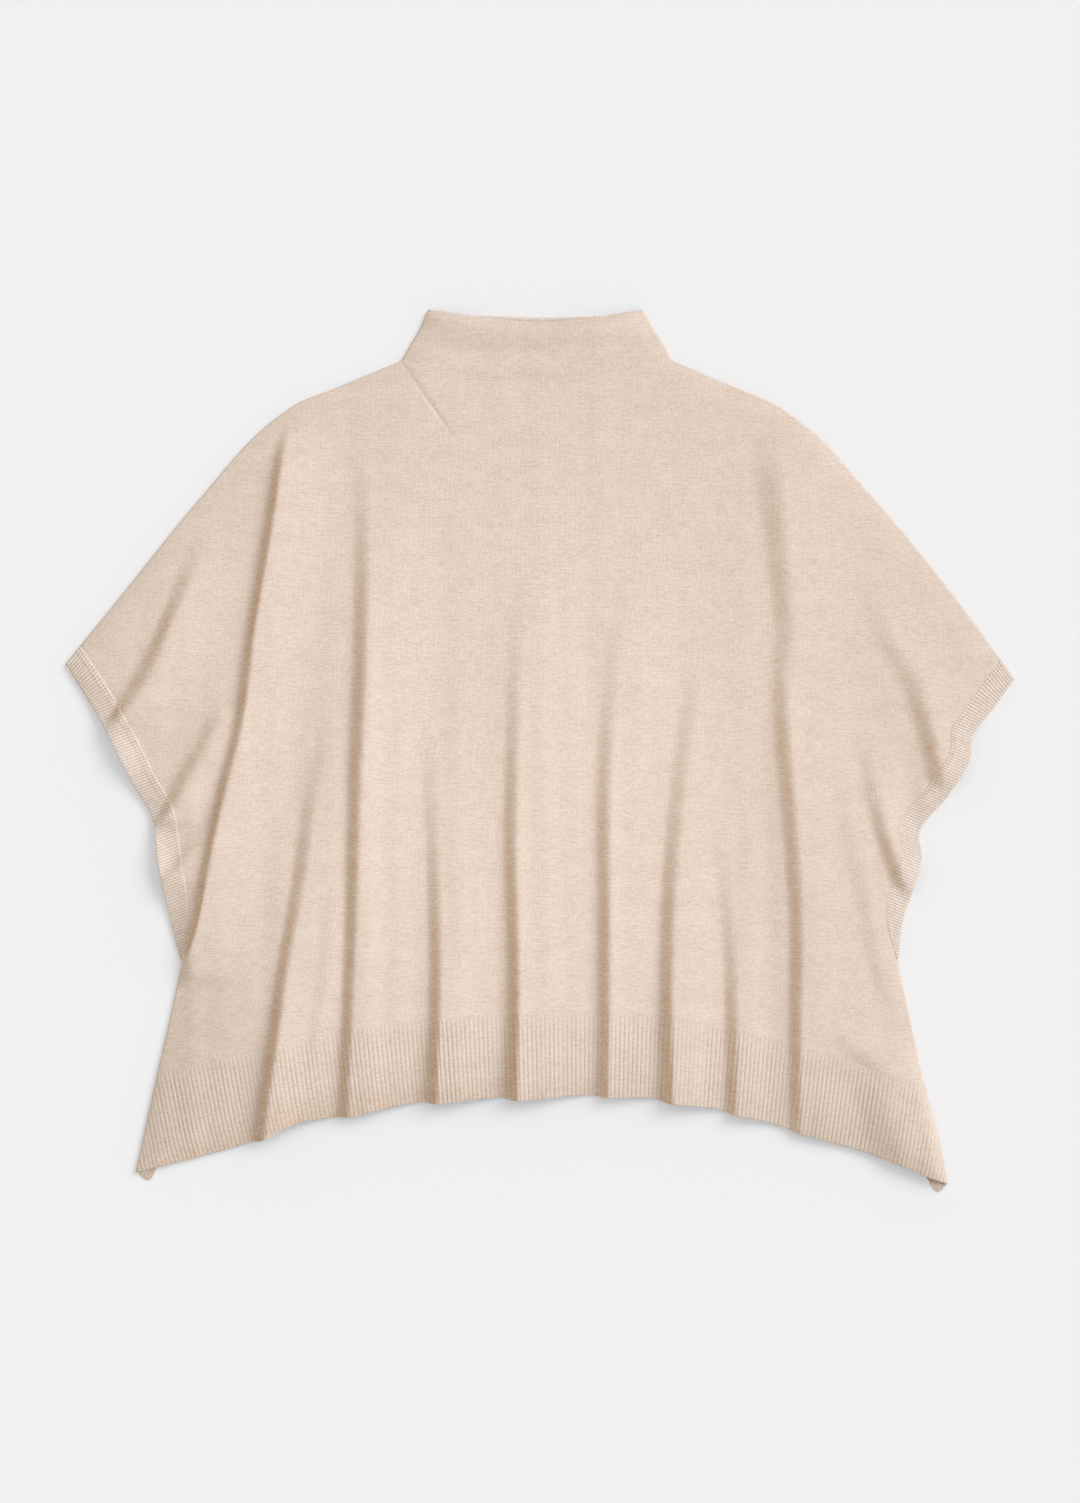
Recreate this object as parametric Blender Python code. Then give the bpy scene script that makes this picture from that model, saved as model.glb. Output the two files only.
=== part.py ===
"""A knitted poncho sweater lying flat on its back panel: a wide boxy body with a short funnel
collar, ribbed armhole trims and a deep 1x1 ribbed hem.

Every piece is a cloth wall of its own.  The sizes below are in millimetres and the meshes in
metres.  +Y runs up the garment to the neck, +Z away from the surface that it lies on, and the
front panel is uppermost, so the wearer's right side is at -X and the wearer's left at +X.
"""
import math
from collections import namedtuple

import bmesh
import bpy
import numpy as np

MM = 0.001
SIDES = ("right", "left")
WALL = 1.8                 # thickness of the jersey
RIB_WALL = 1.5             # thickness of the ribbing at the bottom of its furrows
RIB_HEIGHT = 0.7           # how far a rib stands above its furrow
GAP = 0.3                  # parting between two pieces, at a seam or one on the other
FRONT_LEVEL = WALL + GAP   # the front layer's inside where it lies on the back layer

HEM_RIBS = 196             # ribs across the front hem
SIDE_RIBS = 10             # of those, the ribs at each end that run out at the side edge
TRIM_RIBS = 112            # ribs along one armhole trim
POINTS_PER_RIB = 2         # one on the crest and one in the furrow
COARSE = 4                 # outer columns to one column of the plain inside of a ribbed piece

TRIM_WIDTH = 22.0          # armhole trim, from its seam to its edge
TRIM_TAPER = 0.24          # share of the armhole over which it runs out at the underarm
TRIM_END = 0.985           # where the trim stops, as a share of the armhole
TIP_TURN = 0.2             # share of the armhole over which its end turns into the shoulder line
LIP_HEIGHT = 6.0           # how far the front collar rolls up off the back collar
LIP_RISE = (0.38, 0.85)    # shares of the collar's height between which it climbs
LIP_FALL = 0.9             # share of the roll's height by which its edge turns down again

Mark = namedtuple("Mark", "place x y")

# The outline, from the neck point round to the hem's corner.
SHOULDER = {
    "right": [Mark("neck point", -124.2, 350.6), Mark("shoulder", -185.4, 325.2),
              Mark("shoulder end", -220.5, 310.7), Mark("bend", -242.0, 295.2),
              Mark("upper sleeve", -307.0, 224.9), Mark("lower sleeve", -376.8, 139.0),
              Mark("sleeve tip", -426.6, 77.9)],
    "left": [Mark("neck point", 118.8, 350.6), Mark("shoulder", 179.1, 324.9),
             Mark("shoulder end", 212.4, 310.4), Mark("bend", 234.0, 295.6),
             Mark("upper sleeve", 301.0, 225.5), Mark("lower sleeve", 372.2, 138.8),
             Mark("sleeve tip", 426.6, 64.4)],
}
ARMHOLE = {
    "right": [Mark("sleeve tip", -426.6, 77.9), Mark("first rise", -405.5, 44.0),
              Mark("first dip", -391.0, 20.5), Mark("first lobe", -379.5, -2.0),
              Mark("second rise", -365.0, -32.0), Mark("second dip", -347.5, -63.0),
              Mark("second lobe", -344.5, -84.0), Mark("lower run", -339.0, -122.0),
              Mark("lower end", -332.5, -152.0), Mark("underarm", -322.5, -192.2)],
    "left": [Mark("sleeve tip", 426.6, 64.4), Mark("first rise", 404.0, 33.0),
             Mark("first dip", 388.0, 10.0), Mark("first lobe", 387.5, -3.0),
             Mark("second rise", 369.0, -38.0), Mark("second dip", 341.0, -77.0),
             Mark("second lobe", 343.5, -95.0), Mark("lower run", 336.0, -123.0),
             Mark("lower end", 326.0, -155.0), Mark("underarm", 322.2, -192.2)],
}
SIDE = {
    "right": [Mark("underarm", -322.5, -192.2), Mark("side", -331.5, -236.0),
              Mark("rib top", -344.0, -290.0), Mark("hem corner", -363.6, -379.4)],
    "left": [Mark("underarm", 322.2, -192.2), Mark("side", 333.9, -246.2),
             Mark("rib top", 345.0, -298.0), Mark("flare", 360.8, -358.0),
             Mark("hem corner", 366.6, -390.2)],
}
COLLAR_SIDE = {
    "right": [Mark("neck point", -124.2, 350.6), Mark("flare", -115.5, 366.0),
              Mark("stand", -108.9, 377.0), Mark("top corner", -100.8, 395.5)],
    "left": [Mark("neck point", 118.8, 350.6), Mark("flare", 110.5, 366.0),
             Mark("stand", 103.0, 377.0), Mark("top corner", 92.7, 395.5)],
}

# The lines that run across, from the wearer's right to the left.
COLLAR_BASE = [Mark("neck point", -124.2, 350.6), Mark("right dip", -81.0, 340.0),
               Mark("lowest", -42.0, 334.5), Mark("centre", 10.0, 336.5),
               Mark("left dip", 76.5, 342.5), Mark("neck point", 118.8, 350.6)]
COLLAR_FRONT_TOP = [Mark("corner", -100.8, 396.3), Mark("right end", -74.0, 392.5),
                    Mark("right roll", -39.0, 387.6), Mark("centre", 2.0, 385.2),
                    Mark("left roll", 34.0, 387.4), Mark("left end", 64.0, 391.2),
                    Mark("corner", 92.7, 396.3)]
COLLAR_BACK_TOP = [Mark("corner", -100.8, 395.3), Mark("right end", -74.0, 392.2),
                   Mark("right", -42.0, 391.0), Mark("centre", 3.0, 389.7),
                   Mark("left", 33.0, 390.2), Mark("left end", 60.0, 391.2),
                   Mark("corner", 92.7, 395.3)]
RIB_TOP = [Mark("side", -344.0, -290.0), Mark("right fold", -270.0, -272.5),
           Mark("right", -165.0, -248.0), Mark("right centre", -81.0, -238.0),
           Mark("centre", 20.0, -236.0), Mark("left centre", 105.0, -237.0),
           Mark("left", 184.0, -251.0), Mark("left fold", 259.0, -273.0),
           Mark("side", 345.0, -298.0)]
FRONT_HEM = [Mark("corner", -363.6, -379.4), Mark("corner ease", -322.0, -369.0),
             Mark("right fold", -252.0, -348.5), Mark("right ease", -221.0, -334.5),
             Mark("right", -189.0, -330.0), Mark("right centre", -112.0, -316.5),
             Mark("centre", -20.0, -311.5), Mark("left centre", 90.0, -311.5),
             Mark("left", 180.0, -327.0), Mark("left fold", 245.0, -347.0),
             Mark("corner ease", 315.0, -368.0), Mark("corner", 366.6, -390.2)]
BACK_HEM = [Mark("corner", -363.6, -378.0), Mark("peeping tab", -352.0, -386.5),
            Mark("tab ease", -343.0, -373.0), Mark("right fold", -252.0, -342.0),
            Mark("right centre", -112.0, -310.5), Mark("centre", -20.0, -305.5),
            Mark("left centre", 90.0, -305.5), Mark("left fold", 245.0, -341.0),
            Mark("tab ease", 342.0, -376.5), Mark("peeping tab", 360.0, -396.5),
            Mark("corner", 366.6, -389.0)]

# The folds.  Each path runs down the middle of the fold's steep flank.  The cloth climbs
# `height` over the width `flank` and eases down again over `run`, on the +X side of the path.
# It reaches its full height at the share `rise` of the way down, and dies away over `fade`
# beyond the path's end.  A `skew` above 1 draws the steep part of the flank up to its crest.
Fold = namedtuple("Fold", "name height flank run rise fade path skew", defaults=(1.0,))
BODY_FOLDS = [
    Fold("right armhole", 9.5, 12.5, 60, 0.12, 26, [(-232.5, 292), (-244, 210), (-262, 99),
                                                    (-273, 18), (-287.5, -39), (-300, -100),
                                                    (-315.5, -172), (-324.5, -192)], 1.7),
    Fold("right outer", 16.5, 14.5, 62, 1.6, 45, [(-200, 50), (-196, 20), (-205.5, -36),
                                                  (-216.5, -115), (-229.5, -193),
                                                  (-239.5, -266), (-250.5, -345)]),
    Fold("right", 10, 15, 72, 0.45, 45, [(-161, 262), (-160.5, 156), (-162, 60), (-165.5, -13),
                                         (-169, -153), (-172.5, -249), (-175.5, -325)]),
    Fold("right inner", 14.5, 14.5, 66, 1.5, 45, [(-97.5, 32), (-99, 2), (-98, -40), (-96, -108),
                                                  (-93.5, -198), (-96, -314)]),
    Fold("centre", 15, 15, 72, 1.4, 45, [(-16.5, 178), (-19, 150), (-22.5, 90), (-25, 0),
                                         (-26.5, -81), (-23.5, -193), (-24.5, -311)]),
    Fold("left inner", 9.5, 15, 52, 0.9, 45, [(75, 158), (70, 128), (62, 54), (57, -40),
                                              (57.5, -137), (57.5, -238), (56.5, -311)]),
    Fold("left", 14, 16, 56, 1.4, 45, [(137, 98), (136, 68), (124, -24), (116, -114),
                                       (113, -216), (114, -312)]),
    Fold("left short", 9, 15, 46, 1.2, 45, [(159, -60), (162, -90), (168.5, -165), (171.5, -249),
                                            (171.5, -326)]),
    Fold("left outer", 9, 15.5, 80, 0.28, 90, [(214, 110), (216, 30), (224, -65), (229.5, -155),
                                               (229, -245), (229, -305)]),
]
SLEEVE_FOLDS = [
    Fold("left shoulder", 7.2, 26, 85, 0.5, 80, [(196, 290), (202.5, 251), (209.5, 199),
                                                 (214.5, 155), (217, 128)]),
    Fold("right small", 1.8, 13, 22, 0.5, 40, [(-186, -110), (-195, -190), (-204, -260)]),
    Fold("right sleeve upper", 8.6, 16, 48, 0.75, 26, [(-303, 200), (-310.5, 178), (-331, 126),
                                                       (-351, 78), (-362, 58), (-378, 34)]),
    Fold("right sleeve middle", 7, 15, 38, 0.5, 16, [(-286.5, 48), (-297.5, 19), (-305, 2),
                                                     (-318, -20), (-329, -42), (-339, -59)]),
    Fold("right sleeve lower", 4.5, 14, 26, 0.6, 20, [(-301, -70), (-318, -91), (-335, -113)]),
    Fold("left sleeve upper", 9.2, 20, 46, 1.3, 28, [(287, 160), (307, 102), (330, 61),
                                                     (343, 25), (350, 0), (353, -16)]),
    Fold("left sleeve middle", 8.0, 16, 28, 1.0, 22, [(286, 20), (291, -2), (298, -44),
                                                      (304, -68), (311, -90), (320, -114)]),
    Fold("left sleeve lower", 2.6, 18, 34, 0.6, 50, [(255.5, 0), (268, -38), (272, -70),
                                                     (288, -132), (293.5, -162), (300, -194)]),
    Fold("left side", 4.2, 38, 50, 0.15, 55, [(262, -250), (279, -280), (289, -300), (296, -320),
                                              (301, -338)]),
]
TOP_FLANK = 1.2            # a flank's width at the top of its path, against `flank`
LOW_FLANK = 0.8            # and at the path's end

# The air under the front: none at its edges, rising to `height` over a run of cloth.
Loft = namedtuple("Loft", "y height run")
LOFTS = {
    "right": [Loft(-390, 13.5, 70), Loft(-245, 11.0, 66), Loft(-160, 6.5, 50), Loft(-30, 3.0, 36),
              Loft(78, 3.0, 30), Loft(300, 2.5, 22), Loft(400, 2.0, 18)],
    "left": [Loft(-390, 3.5, 55), Loft(-192, 3.0, 50), Loft(78, 3.0, 30), Loft(300, 2.5, 22),
             Loft(400, 2.0, 18)],
}
LOFT_CHANGE = 190.0        # half the width over which the right loft changes into the left one
HEM_RUN = 40.0             # run over which the loft falls to the hem
ARMHOLE_TOP_FADE = 40.0    # how far into the armhole the joined edge still holds the cloth down
ARMHOLE_LOW_FADE = 45.0
HELD_EDGE = {"right": 14.0, "left": 12.0}  # strip along a joined edge in which folds flatten out
HEM_DIP = 0.17             # how far the hem's edge drops where a fold lifts it, as a share
HEM_DIP_SHIFT = 5.0        # and how far beside the fold's crest

# Short puckers and bulges: oriented ridges, or hollows where the height is below 0.
Pucker = namedtuple("Pucker", "name x y length width turn height")
PUCKERS = [
    Pucker("left rib ridge", 300, -277, 26, 5.5, -33, 0.9),
    Pucker("left rib hollow", 297, -288, 22, 4.5, -33, -1.3),
    Pucker("left rib crease", 272, -250, 22, 5.0, -62, 0.6),
    Pucker("right rib ridge", -312, -283, 34, 7.0, 17, 0.6),
    Pucker("left corner", 340, -350, 62, 37, -77, 7.3),
    Pucker("right armhole lobe", -384, -3, 31, 17, -62, 10.5),
    Pucker("right armhole lower lobe", -351, -100, 30, 18, -82, 13.0),
]

# Rows of the body: which run of the edge a row ends on, and how far along it.
Row = namedtuple("Row", "run share")
BODY_ROWS = ([Row("shoulder", s) for s in (0.0, 0.09, 0.18, 0.27, 0.37, 0.48, 0.61, 0.74, 0.87)]
             + [Row("armhole", s) for s in np.linspace(0.0, 1.0, 12)]
             + [Row("side", s) for s in (0.18, 0.45, 0.72, 1.0)])
SETTLED_ROW = 8            # from this row down the columns follow the folds
FILL_COLUMNS = 3           # even columns between one fold and the next
SLEEVE_COLUMNS = 8         # even columns between the outermost fold and the edge
PLAIN_COLUMNS = 24         # columns across the flat back panel and back collar
PALE_OAT = (0.66, 0.53, 0.42, 1.0)
RIB_OAT = (0.63, 0.50, 0.39, 1.0)


def clear_scene():
    for thing in list(bpy.data.objects):
        bpy.data.objects.remove(thing, do_unlink=True)


def smooth(points, spacing=2.0):
    """A smooth curve through the points, as closely spaced places along it."""
    knots = np.array([point[-2:] for point in points], dtype=float)
    chord = np.concatenate(([0.0], np.cumsum(np.linalg.norm(np.diff(knots, axis=0), axis=1))))
    slope = np.gradient(knots, chord, axis=0)
    at = np.linspace(0.0, chord[-1], max(3, int(chord[-1] / spacing)))
    span = np.clip(np.searchsorted(chord, at, side="right") - 1, 0, len(knots) - 2)
    length = (chord[span + 1] - chord[span])[:, None]
    t = ((at - chord[span])[:, None]) / length
    return ((2 * t ** 3 - 3 * t ** 2 + 1) * knots[span] + (t ** 3 - 2 * t ** 2 + t) * length * slope[span]
            + (3 * t ** 2 - 2 * t ** 3) * knots[span + 1] + (t ** 3 - t ** 2) * length * slope[span + 1])


def along(line, share):
    """The place on a line at a share of its length."""
    length = np.concatenate(([0.0], np.cumsum(np.linalg.norm(np.diff(line, axis=0), axis=1))))
    at = np.asarray(share) * length[-1]
    return np.stack([np.interp(at, length, line[:, axis]) for axis in (0, 1)], axis=-1)


def ease(t):
    """A smooth step from 0 to 1."""
    t = np.clip(t, 0.0, 1.0)
    return t * t * (3.0 - 2.0 * t)


def height_on(line, x):
    return np.interp(x, line[:, 0], line[:, 1])


def rising(line):
    """The same line with its places in order of rising y, as x at a given y needs."""
    return line[np.argsort(line[:, 1])]


def outline(side):
    return rising(np.concatenate((smooth(COLLAR_SIDE[side])[:0:-1], smooth(SHOULDER[side]),
                                  smooth(ARMHOLE[side])[1:], smooth(SIDE[side])[1:])))


OUTLINE = {side: outline(side) for side in SIDES}
HEM_LINE = smooth(FRONT_HEM)


def edge_distance(x, y):
    """How far a place lies inside the outline, measured square to the nearest side."""
    distance = {}
    for side, sign in (("right", 1.0), ("left", -1.0)):
        line = OUTLINE[side]
        lean = np.gradient(line[:, 0], line[:, 1])
        inside = sign * (x - np.interp(y, line[:, 1], line[:, 0]))
        distance[side] = inside / np.sqrt(1.0 + np.interp(y, line[:, 1], lean) ** 2)
    return np.maximum(np.where(x < 0, distance["right"], distance["left"]), 0.0)


def hem_distance(x, y):
    return np.maximum(y - height_on(HEM_LINE, x), 0.0)


def joined(y):
    """1 where the front and back are joined along the side, 0 at the open armhole."""
    tip = SHOULDER["left"][-1].y
    underarm = SIDE["right"][0].y
    upper = ease((y - tip + ARMHOLE_TOP_FADE) / ARMHOLE_TOP_FADE)
    lower = ease((underarm + ARMHOLE_LOW_FADE - y) / ARMHOLE_LOW_FADE)
    return np.maximum(upper, lower)


def fold_lift(fold, x, y):
    """How far one fold lifts the cloth at each place."""
    line = rising(smooth(fold.path, spacing=6.0))
    lean = np.gradient(line[:, 0], line[:, 1])
    slant = np.sqrt(1.0 + np.interp(y, line[:, 1], lean) ** 2)
    beyond = lean[0] * np.minimum(y - line[0, 1], 0.0)
    across = (x - np.interp(y, line[:, 1], line[:, 0]) - beyond) / slant
    share = (line[-1, 1] - y) / (line[-1, 1] - line[0, 1])
    size = np.sin(np.clip(share / fold.rise, 0.0, 1.0) * math.pi / 2)
    size = size * (1.0 - ease((line[0, 1] - y) / fold.fade))
    flank = fold.flank * (TOP_FLANK + (LOW_FLANK - TOP_FLANK) * np.clip(share, 0.0, 1.0))
    climb = ease(np.clip(across / flank + 0.5, 0.0, 1.0) ** fold.skew)
    down = np.clip((across - flank / 2) / fold.run, 0.0, 1.0)
    return fold.height * size * climb * (1 - down) ** 2 * (1 + down)


def loft_value(side, what, y):
    """One column of a side's loft table, read at y."""
    return np.interp(y, [row.y for row in LOFTS[side]], [getattr(row, what) for row in LOFTS[side]])


def loft(x, y):
    """The soft air under the front, none where it meets its edges."""
    to_left = ease(0.5 + x / (2 * LOFT_CHANGE))
    height = (1.0 - to_left) * loft_value("right", "height", y) + to_left * loft_value("left", "height", y)
    run = (1.0 - to_left) * loft_value("right", "run", y) + to_left * loft_value("left", "run", y)
    inside = np.minimum(edge_distance(x, y) / run, hem_distance(x, y) / HEM_RUN)
    return height * (1.0 - (1.0 - np.clip(inside, 0.0, 1.0)) ** 2)


def pucker_lift(pucker, x, y):
    turn = math.radians(pucker.turn)
    along_it = (x - pucker.x) * math.cos(turn) + (y - pucker.y) * math.sin(turn)
    across_it = (y - pucker.y) * math.cos(turn) - (x - pucker.x) * math.sin(turn)
    return pucker.height * np.exp(-(along_it / pucker.length) ** 2 - (across_it / pucker.width) ** 2)


def lift(x, y):
    """Height of the front layer's inside above where it would lie flat on the back layer."""
    folds = sum(fold_lift(fold, x, y) for fold in BODY_FOLDS + SLEEVE_FOLDS)
    puckers = sum(pucker_lift(pucker, x, y) for pucker in PUCKERS)
    strip = np.where(x < 0, HELD_EDGE["right"], HELD_EDGE["left"])
    held = joined(y) * (1.0 - np.clip(edge_distance(x, y) / strip, 0.0, 1.0)) ** 2
    return loft(x, y) + (1.0 - held) * (folds + puckers)


def front_walls(plan, wall, extra=0.0):
    """Inside and outside of a front piece: the folded cloth and the same moved out."""
    x, y = plan[..., 0], plan[..., 1]
    inside = FRONT_LEVEL + lift(x, y) + extra
    reach = 0.5
    slope_x = (lift(x + reach, y) - lift(x - reach, y)) / (2 * reach)
    slope_y = (lift(x, y + reach) - lift(x, y - reach)) / (2 * reach)
    return inside, inside + wall * np.sqrt(1.0 + slope_x ** 2 + slope_y ** 2)


def back_walls(plan, wall):
    """Inside and outside of a piece that lies flat on the surface."""
    flat = np.zeros(plan.shape[:2])
    return flat, flat + wall


def cloth_object(name, plan, under, over, material, coarse=1):
    """A closed wall from a plan of places and its two heights.  `coarse` thins the under side."""
    mesh_builder = bmesh.new()
    rows, columns = plan.shape[0] - 1, plan.shape[1] - 1

    def layer(heights, step):
        grid = bmesh.ops.create_grid(mesh_builder, x_segments=columns // step, y_segments=rows, size=1.0)
        table = {}
        for vertex in grid["verts"]:
            column = round((vertex.co.x + 1) / 2 * (columns // step)) * step
            row = round((vertex.co.y + 1) / 2 * rows)
            x, y = plan[row, column]
            vertex.co = (x * MM, y * MM, heights[row, column] * MM)
            table[row, column] = vertex
        return table

    top = layer(over, 1)
    bottom = layer(under, coarse)
    for row in (0, rows):
        for start in range(0, columns, coarse):
            near, far = bottom[row, start], bottom[row, start + coarse]
            middle = start + coarse // 2
            if coarse == 1:
                mesh_builder.faces.new((near, far, top[row, start + 1], top[row, start]))
                continue
            for column in range(start, start + coarse):
                foot = near if column < middle else far
                mesh_builder.faces.new((foot, top[row, column], top[row, column + 1]))
            mesh_builder.faces.new((near, far, top[row, middle]))
    for column in (0, columns):
        for row in range(rows):
            mesh_builder.faces.new((bottom[row, column], bottom[row + 1, column],
                                    top[row + 1, column], top[row, column]))
    bmesh.ops.recalc_face_normals(mesh_builder, faces=mesh_builder.faces)
    mesh = bpy.data.meshes.new(name)
    mesh_builder.to_mesh(mesh)
    mesh_builder.free()
    mesh.shade_smooth()
    mesh.set_sharp_from_angle(angle=np.radians(50.0))
    mesh.materials.append(material)
    piece = bpy.data.objects.new(name, mesh)
    garment.objects.link(piece)
    return piece


def cloth_material(name, colour, roughness):
    material = bpy.data.materials.new(name)
    material.use_nodes = True
    shader = material.node_tree.nodes["Principled BSDF"]
    shader.inputs["Base Color"].default_value = colour
    shader.inputs["Roughness"].default_value = roughness
    shader.inputs["Metallic"].default_value = 0.0
    return material


def armhole_edge(side):
    """The free edge of an armhole, at the places where the body's rows meet it."""
    shares = np.array([row.share for row in BODY_ROWS if row.run == "armhole"])
    return shares, along(smooth(ARMHOLE[side]), shares)


def armhole_seam(side):
    """The seam between body and trim: the free edge moved in by the trim's width."""
    shares, edge = armhole_edge(side)
    shoulder = smooth(SHOULDER[side])
    to_neck = shoulder[-12] - shoulder[-1]
    to_neck /= np.linalg.norm(to_neck)
    run = edge[-1] - edge[0]
    inward = np.array([-run[1], run[0]]) / np.linalg.norm(run)
    inward *= -np.sign(inward[0]) * np.sign(edge[0][0])
    width = TRIM_WIDTH * np.sin(np.clip((1 - shares) / TRIM_TAPER, 0, 1) * math.pi / 2)
    turn = ease(shares / TIP_TURN)[:, None]
    way = (1 - turn) * to_neck + turn * inward
    way /= np.linalg.norm(way, axis=1)[:, None]
    return shares, edge + way * width[:, None]


def body_edge(side):
    """The body's edge from the neck to the rib top, one place for each row."""
    shares, seam = armhole_seam(side)
    shoulder = smooth(SHOULDER[side])
    length = np.linalg.norm(np.diff(shoulder, axis=0), axis=1).sum()
    kept = 1 - np.linalg.norm(seam[0] - shoulder[-1]) / length
    side_seam = smooth(SIDE[side])
    rib_top = np.argmin(np.linalg.norm(side_seam - np.array(SIDE[side][2][1:]), axis=1))
    places = []
    for row in BODY_ROWS:
        if row.run == "shoulder":
            places.append(along(shoulder, row.share * kept))
        elif row.run == "armhole":
            places.append(seam[np.argmin(abs(shares - row.share))])
        else:
            places.append(along(side_seam[:rib_top + 1], row.share))
    return np.array(places)


def column_shares(start, end, level, settle):
    """Where the columns of one row stand, gathered at the flanks of the folds."""
    width = end - start
    count = len(BODY_FOLDS)
    even = (SLEEVE_COLUMNS + np.arange(count) * (FILL_COLUMNS + 3)) / (
        2 * SLEEVE_COLUMNS + count * (FILL_COLUMNS + 3))
    shares = []
    marks = []
    for index, fold in enumerate(BODY_FOLDS):
        line = rising(smooth(fold.path, spacing=8.0))
        mark = (np.interp(level, line[:, 1], line[:, 0]) - start) / width
        mark = even[index] + (mark - even[index]) * settle
        marks.append(min(max(mark, 0.05 + 0.03 * index), 0.95 - 0.03 * (count - 1 - index)))
    last = 0.0
    for index, mark in enumerate(marks):
        following = marks[index + 1] if index + 1 < count else 1.0
        reach = min(BODY_FOLDS[index].flank / width, 0.4 * (following - mark), 0.8 * (mark - last))
        fill = SLEEVE_COLUMNS if index == 0 else FILL_COLUMNS
        shares += list(np.linspace(last, mark - 0.5 * reach, fill + 1)[:-1])
        shares += [mark - 0.5 * reach, mark, mark + 0.5 * reach]
        last = mark + 1.1 * reach
    return shares + list(np.linspace(last, 1.0, SLEEVE_COLUMNS + 1))


def body_plan(follow_folds):
    """Places of a body panel, row by row from the neck to the rib top."""
    right, left = body_edge("right"), body_edge("left")
    neck, rib_top = smooth(COLLAR_BASE), smooth(RIB_TOP)
    rows = len(BODY_ROWS)
    plan = []
    for index in range(rows):
        start, end = right[index], left[index]
        down = index / (rows - 1)
        shares = np.linspace(0.0, 1.0, PLAIN_COLUMNS + 1)
        if follow_folds:
            shares = np.array(column_shares(start[0], end[0], (start[1] + end[1]) / 2,
                                            ease(index / SETTLED_ROW)))
        line = start + (end - start) * shares[:, None]
        top = right[0] + (left[0] - right[0]) * shares[:, None]
        bottom = right[-1] + (left[-1] - right[-1]) * shares[:, None]
        line[:, 1] += (1 - down) ** 4 * (height_on(neck, top[:, 0]) - top[:, 1])
        line[:, 1] += down ** 4 * (height_on(rib_top, bottom[:, 0]) - bottom[:, 1])
        plan.append(line)
    plan = np.array(plan)
    plan[0, :, 1] -= GAP / 2
    plan[-1, :, 1] += GAP / 2
    return plan


def collar_plan(top_marks, columns, rows):
    """Places of a collar half, from its base to its top edge."""
    right, left = smooth(COLLAR_SIDE["right"]), smooth(COLLAR_SIDE["left"])
    base, top = smooth(COLLAR_BASE), smooth(top_marks)
    across = np.linspace(0.0, 1.0, columns + 1)
    plan = []
    for up in np.linspace(0.0, 1.0, rows + 1):
        start, end = along(right, up), along(left, up)
        line = start + (end - start) * across[:, None]
        low = right[0] + (left[0] - right[0]) * across[:, None]
        high = right[-1] + (left[-1] - right[-1]) * across[:, None]
        line[:, 1] += (1 - up) * (height_on(base, low[:, 0]) - low[:, 1])
        line[:, 1] += up * (height_on(top, high[:, 0]) - high[:, 1])
        plan.append(line)
    plan = np.array(plan)
    plan[0, :, 1] += GAP / 2
    return plan


def hem_plan(edge_marks, ribs, side_ribs, rows, dip=0.0):
    """Places of a hem band.  Each column is a rib line: the outer ones start on the side edge."""
    columns = ribs * POINTS_PER_RIB
    turned = side_ribs * POINTS_PER_RIB
    edge = along(smooth(edge_marks), np.linspace(0.0, 1.0, columns + 1))
    edge[:, 1] -= dip * lift(edge[:, 0] + HEM_DIP_SHIFT, edge[:, 1])
    top_line = smooth(RIB_TOP)
    starts = np.empty_like(edge)
    starts[turned:columns - turned + 1] = along(top_line, np.linspace(0.0, 1.0, columns - 2 * turned + 1))
    for side, places in (("right", range(turned)), ("left", range(columns, columns - turned, -1))):
        seam = smooth(SIDE[side])
        rib_top = np.argmin(np.linalg.norm(seam - np.array(SIDE[side][2][1:]), axis=1))
        for count, column in enumerate(places):
            starts[column] = along(seam[rib_top:], 1.0 - (count + 0.4) / (turned + 0.4))
    starts[turned:columns - turned + 1, 1] -= GAP / 2
    down = np.linspace(0.0, 1.0, rows + 1)[:, None, None]
    return starts + (edge - starts) * down


def trim_plan(side, columns, rows=1):
    """Places of an armhole trim, from its seam to its free edge."""
    shares = np.linspace(0.0, TRIM_END, columns + 1)
    stations, seam_places = armhole_seam(side)
    seam = np.stack([np.interp(shares, stations, seam_places[:, axis]) for axis in (0, 1)], axis=-1)
    edge = along(smooth(ARMHOLE[side]), shares)
    across = edge - seam
    seam = seam + across / np.linalg.norm(across, axis=1)[:, None] * GAP
    out = np.linspace(0.0, 1.0, rows + 1)[:, None, None]
    return seam + (edge - seam) * out


def rib_relief(plan):
    """A rib's height on every other column."""
    crest = np.arange(plan.shape[1]) % POINTS_PER_RIB == 0
    return RIB_HEIGHT * crest[None, :]


def collar_roll(plan):
    """The lift of the front collar's roll below its top edge, none at its two ends."""
    start, end = LIP_RISE
    up = np.linspace(0.0, 1.0, plan.shape[0])[:, None]
    across = np.linspace(-1.0, 1.0, plan.shape[1])[None, :]
    climb = ease((up - start) / (end - start)) - LIP_FALL * ease((up - end) / (1 - end))
    return LIP_HEIGHT * climb * (1 - across ** 4)


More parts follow.
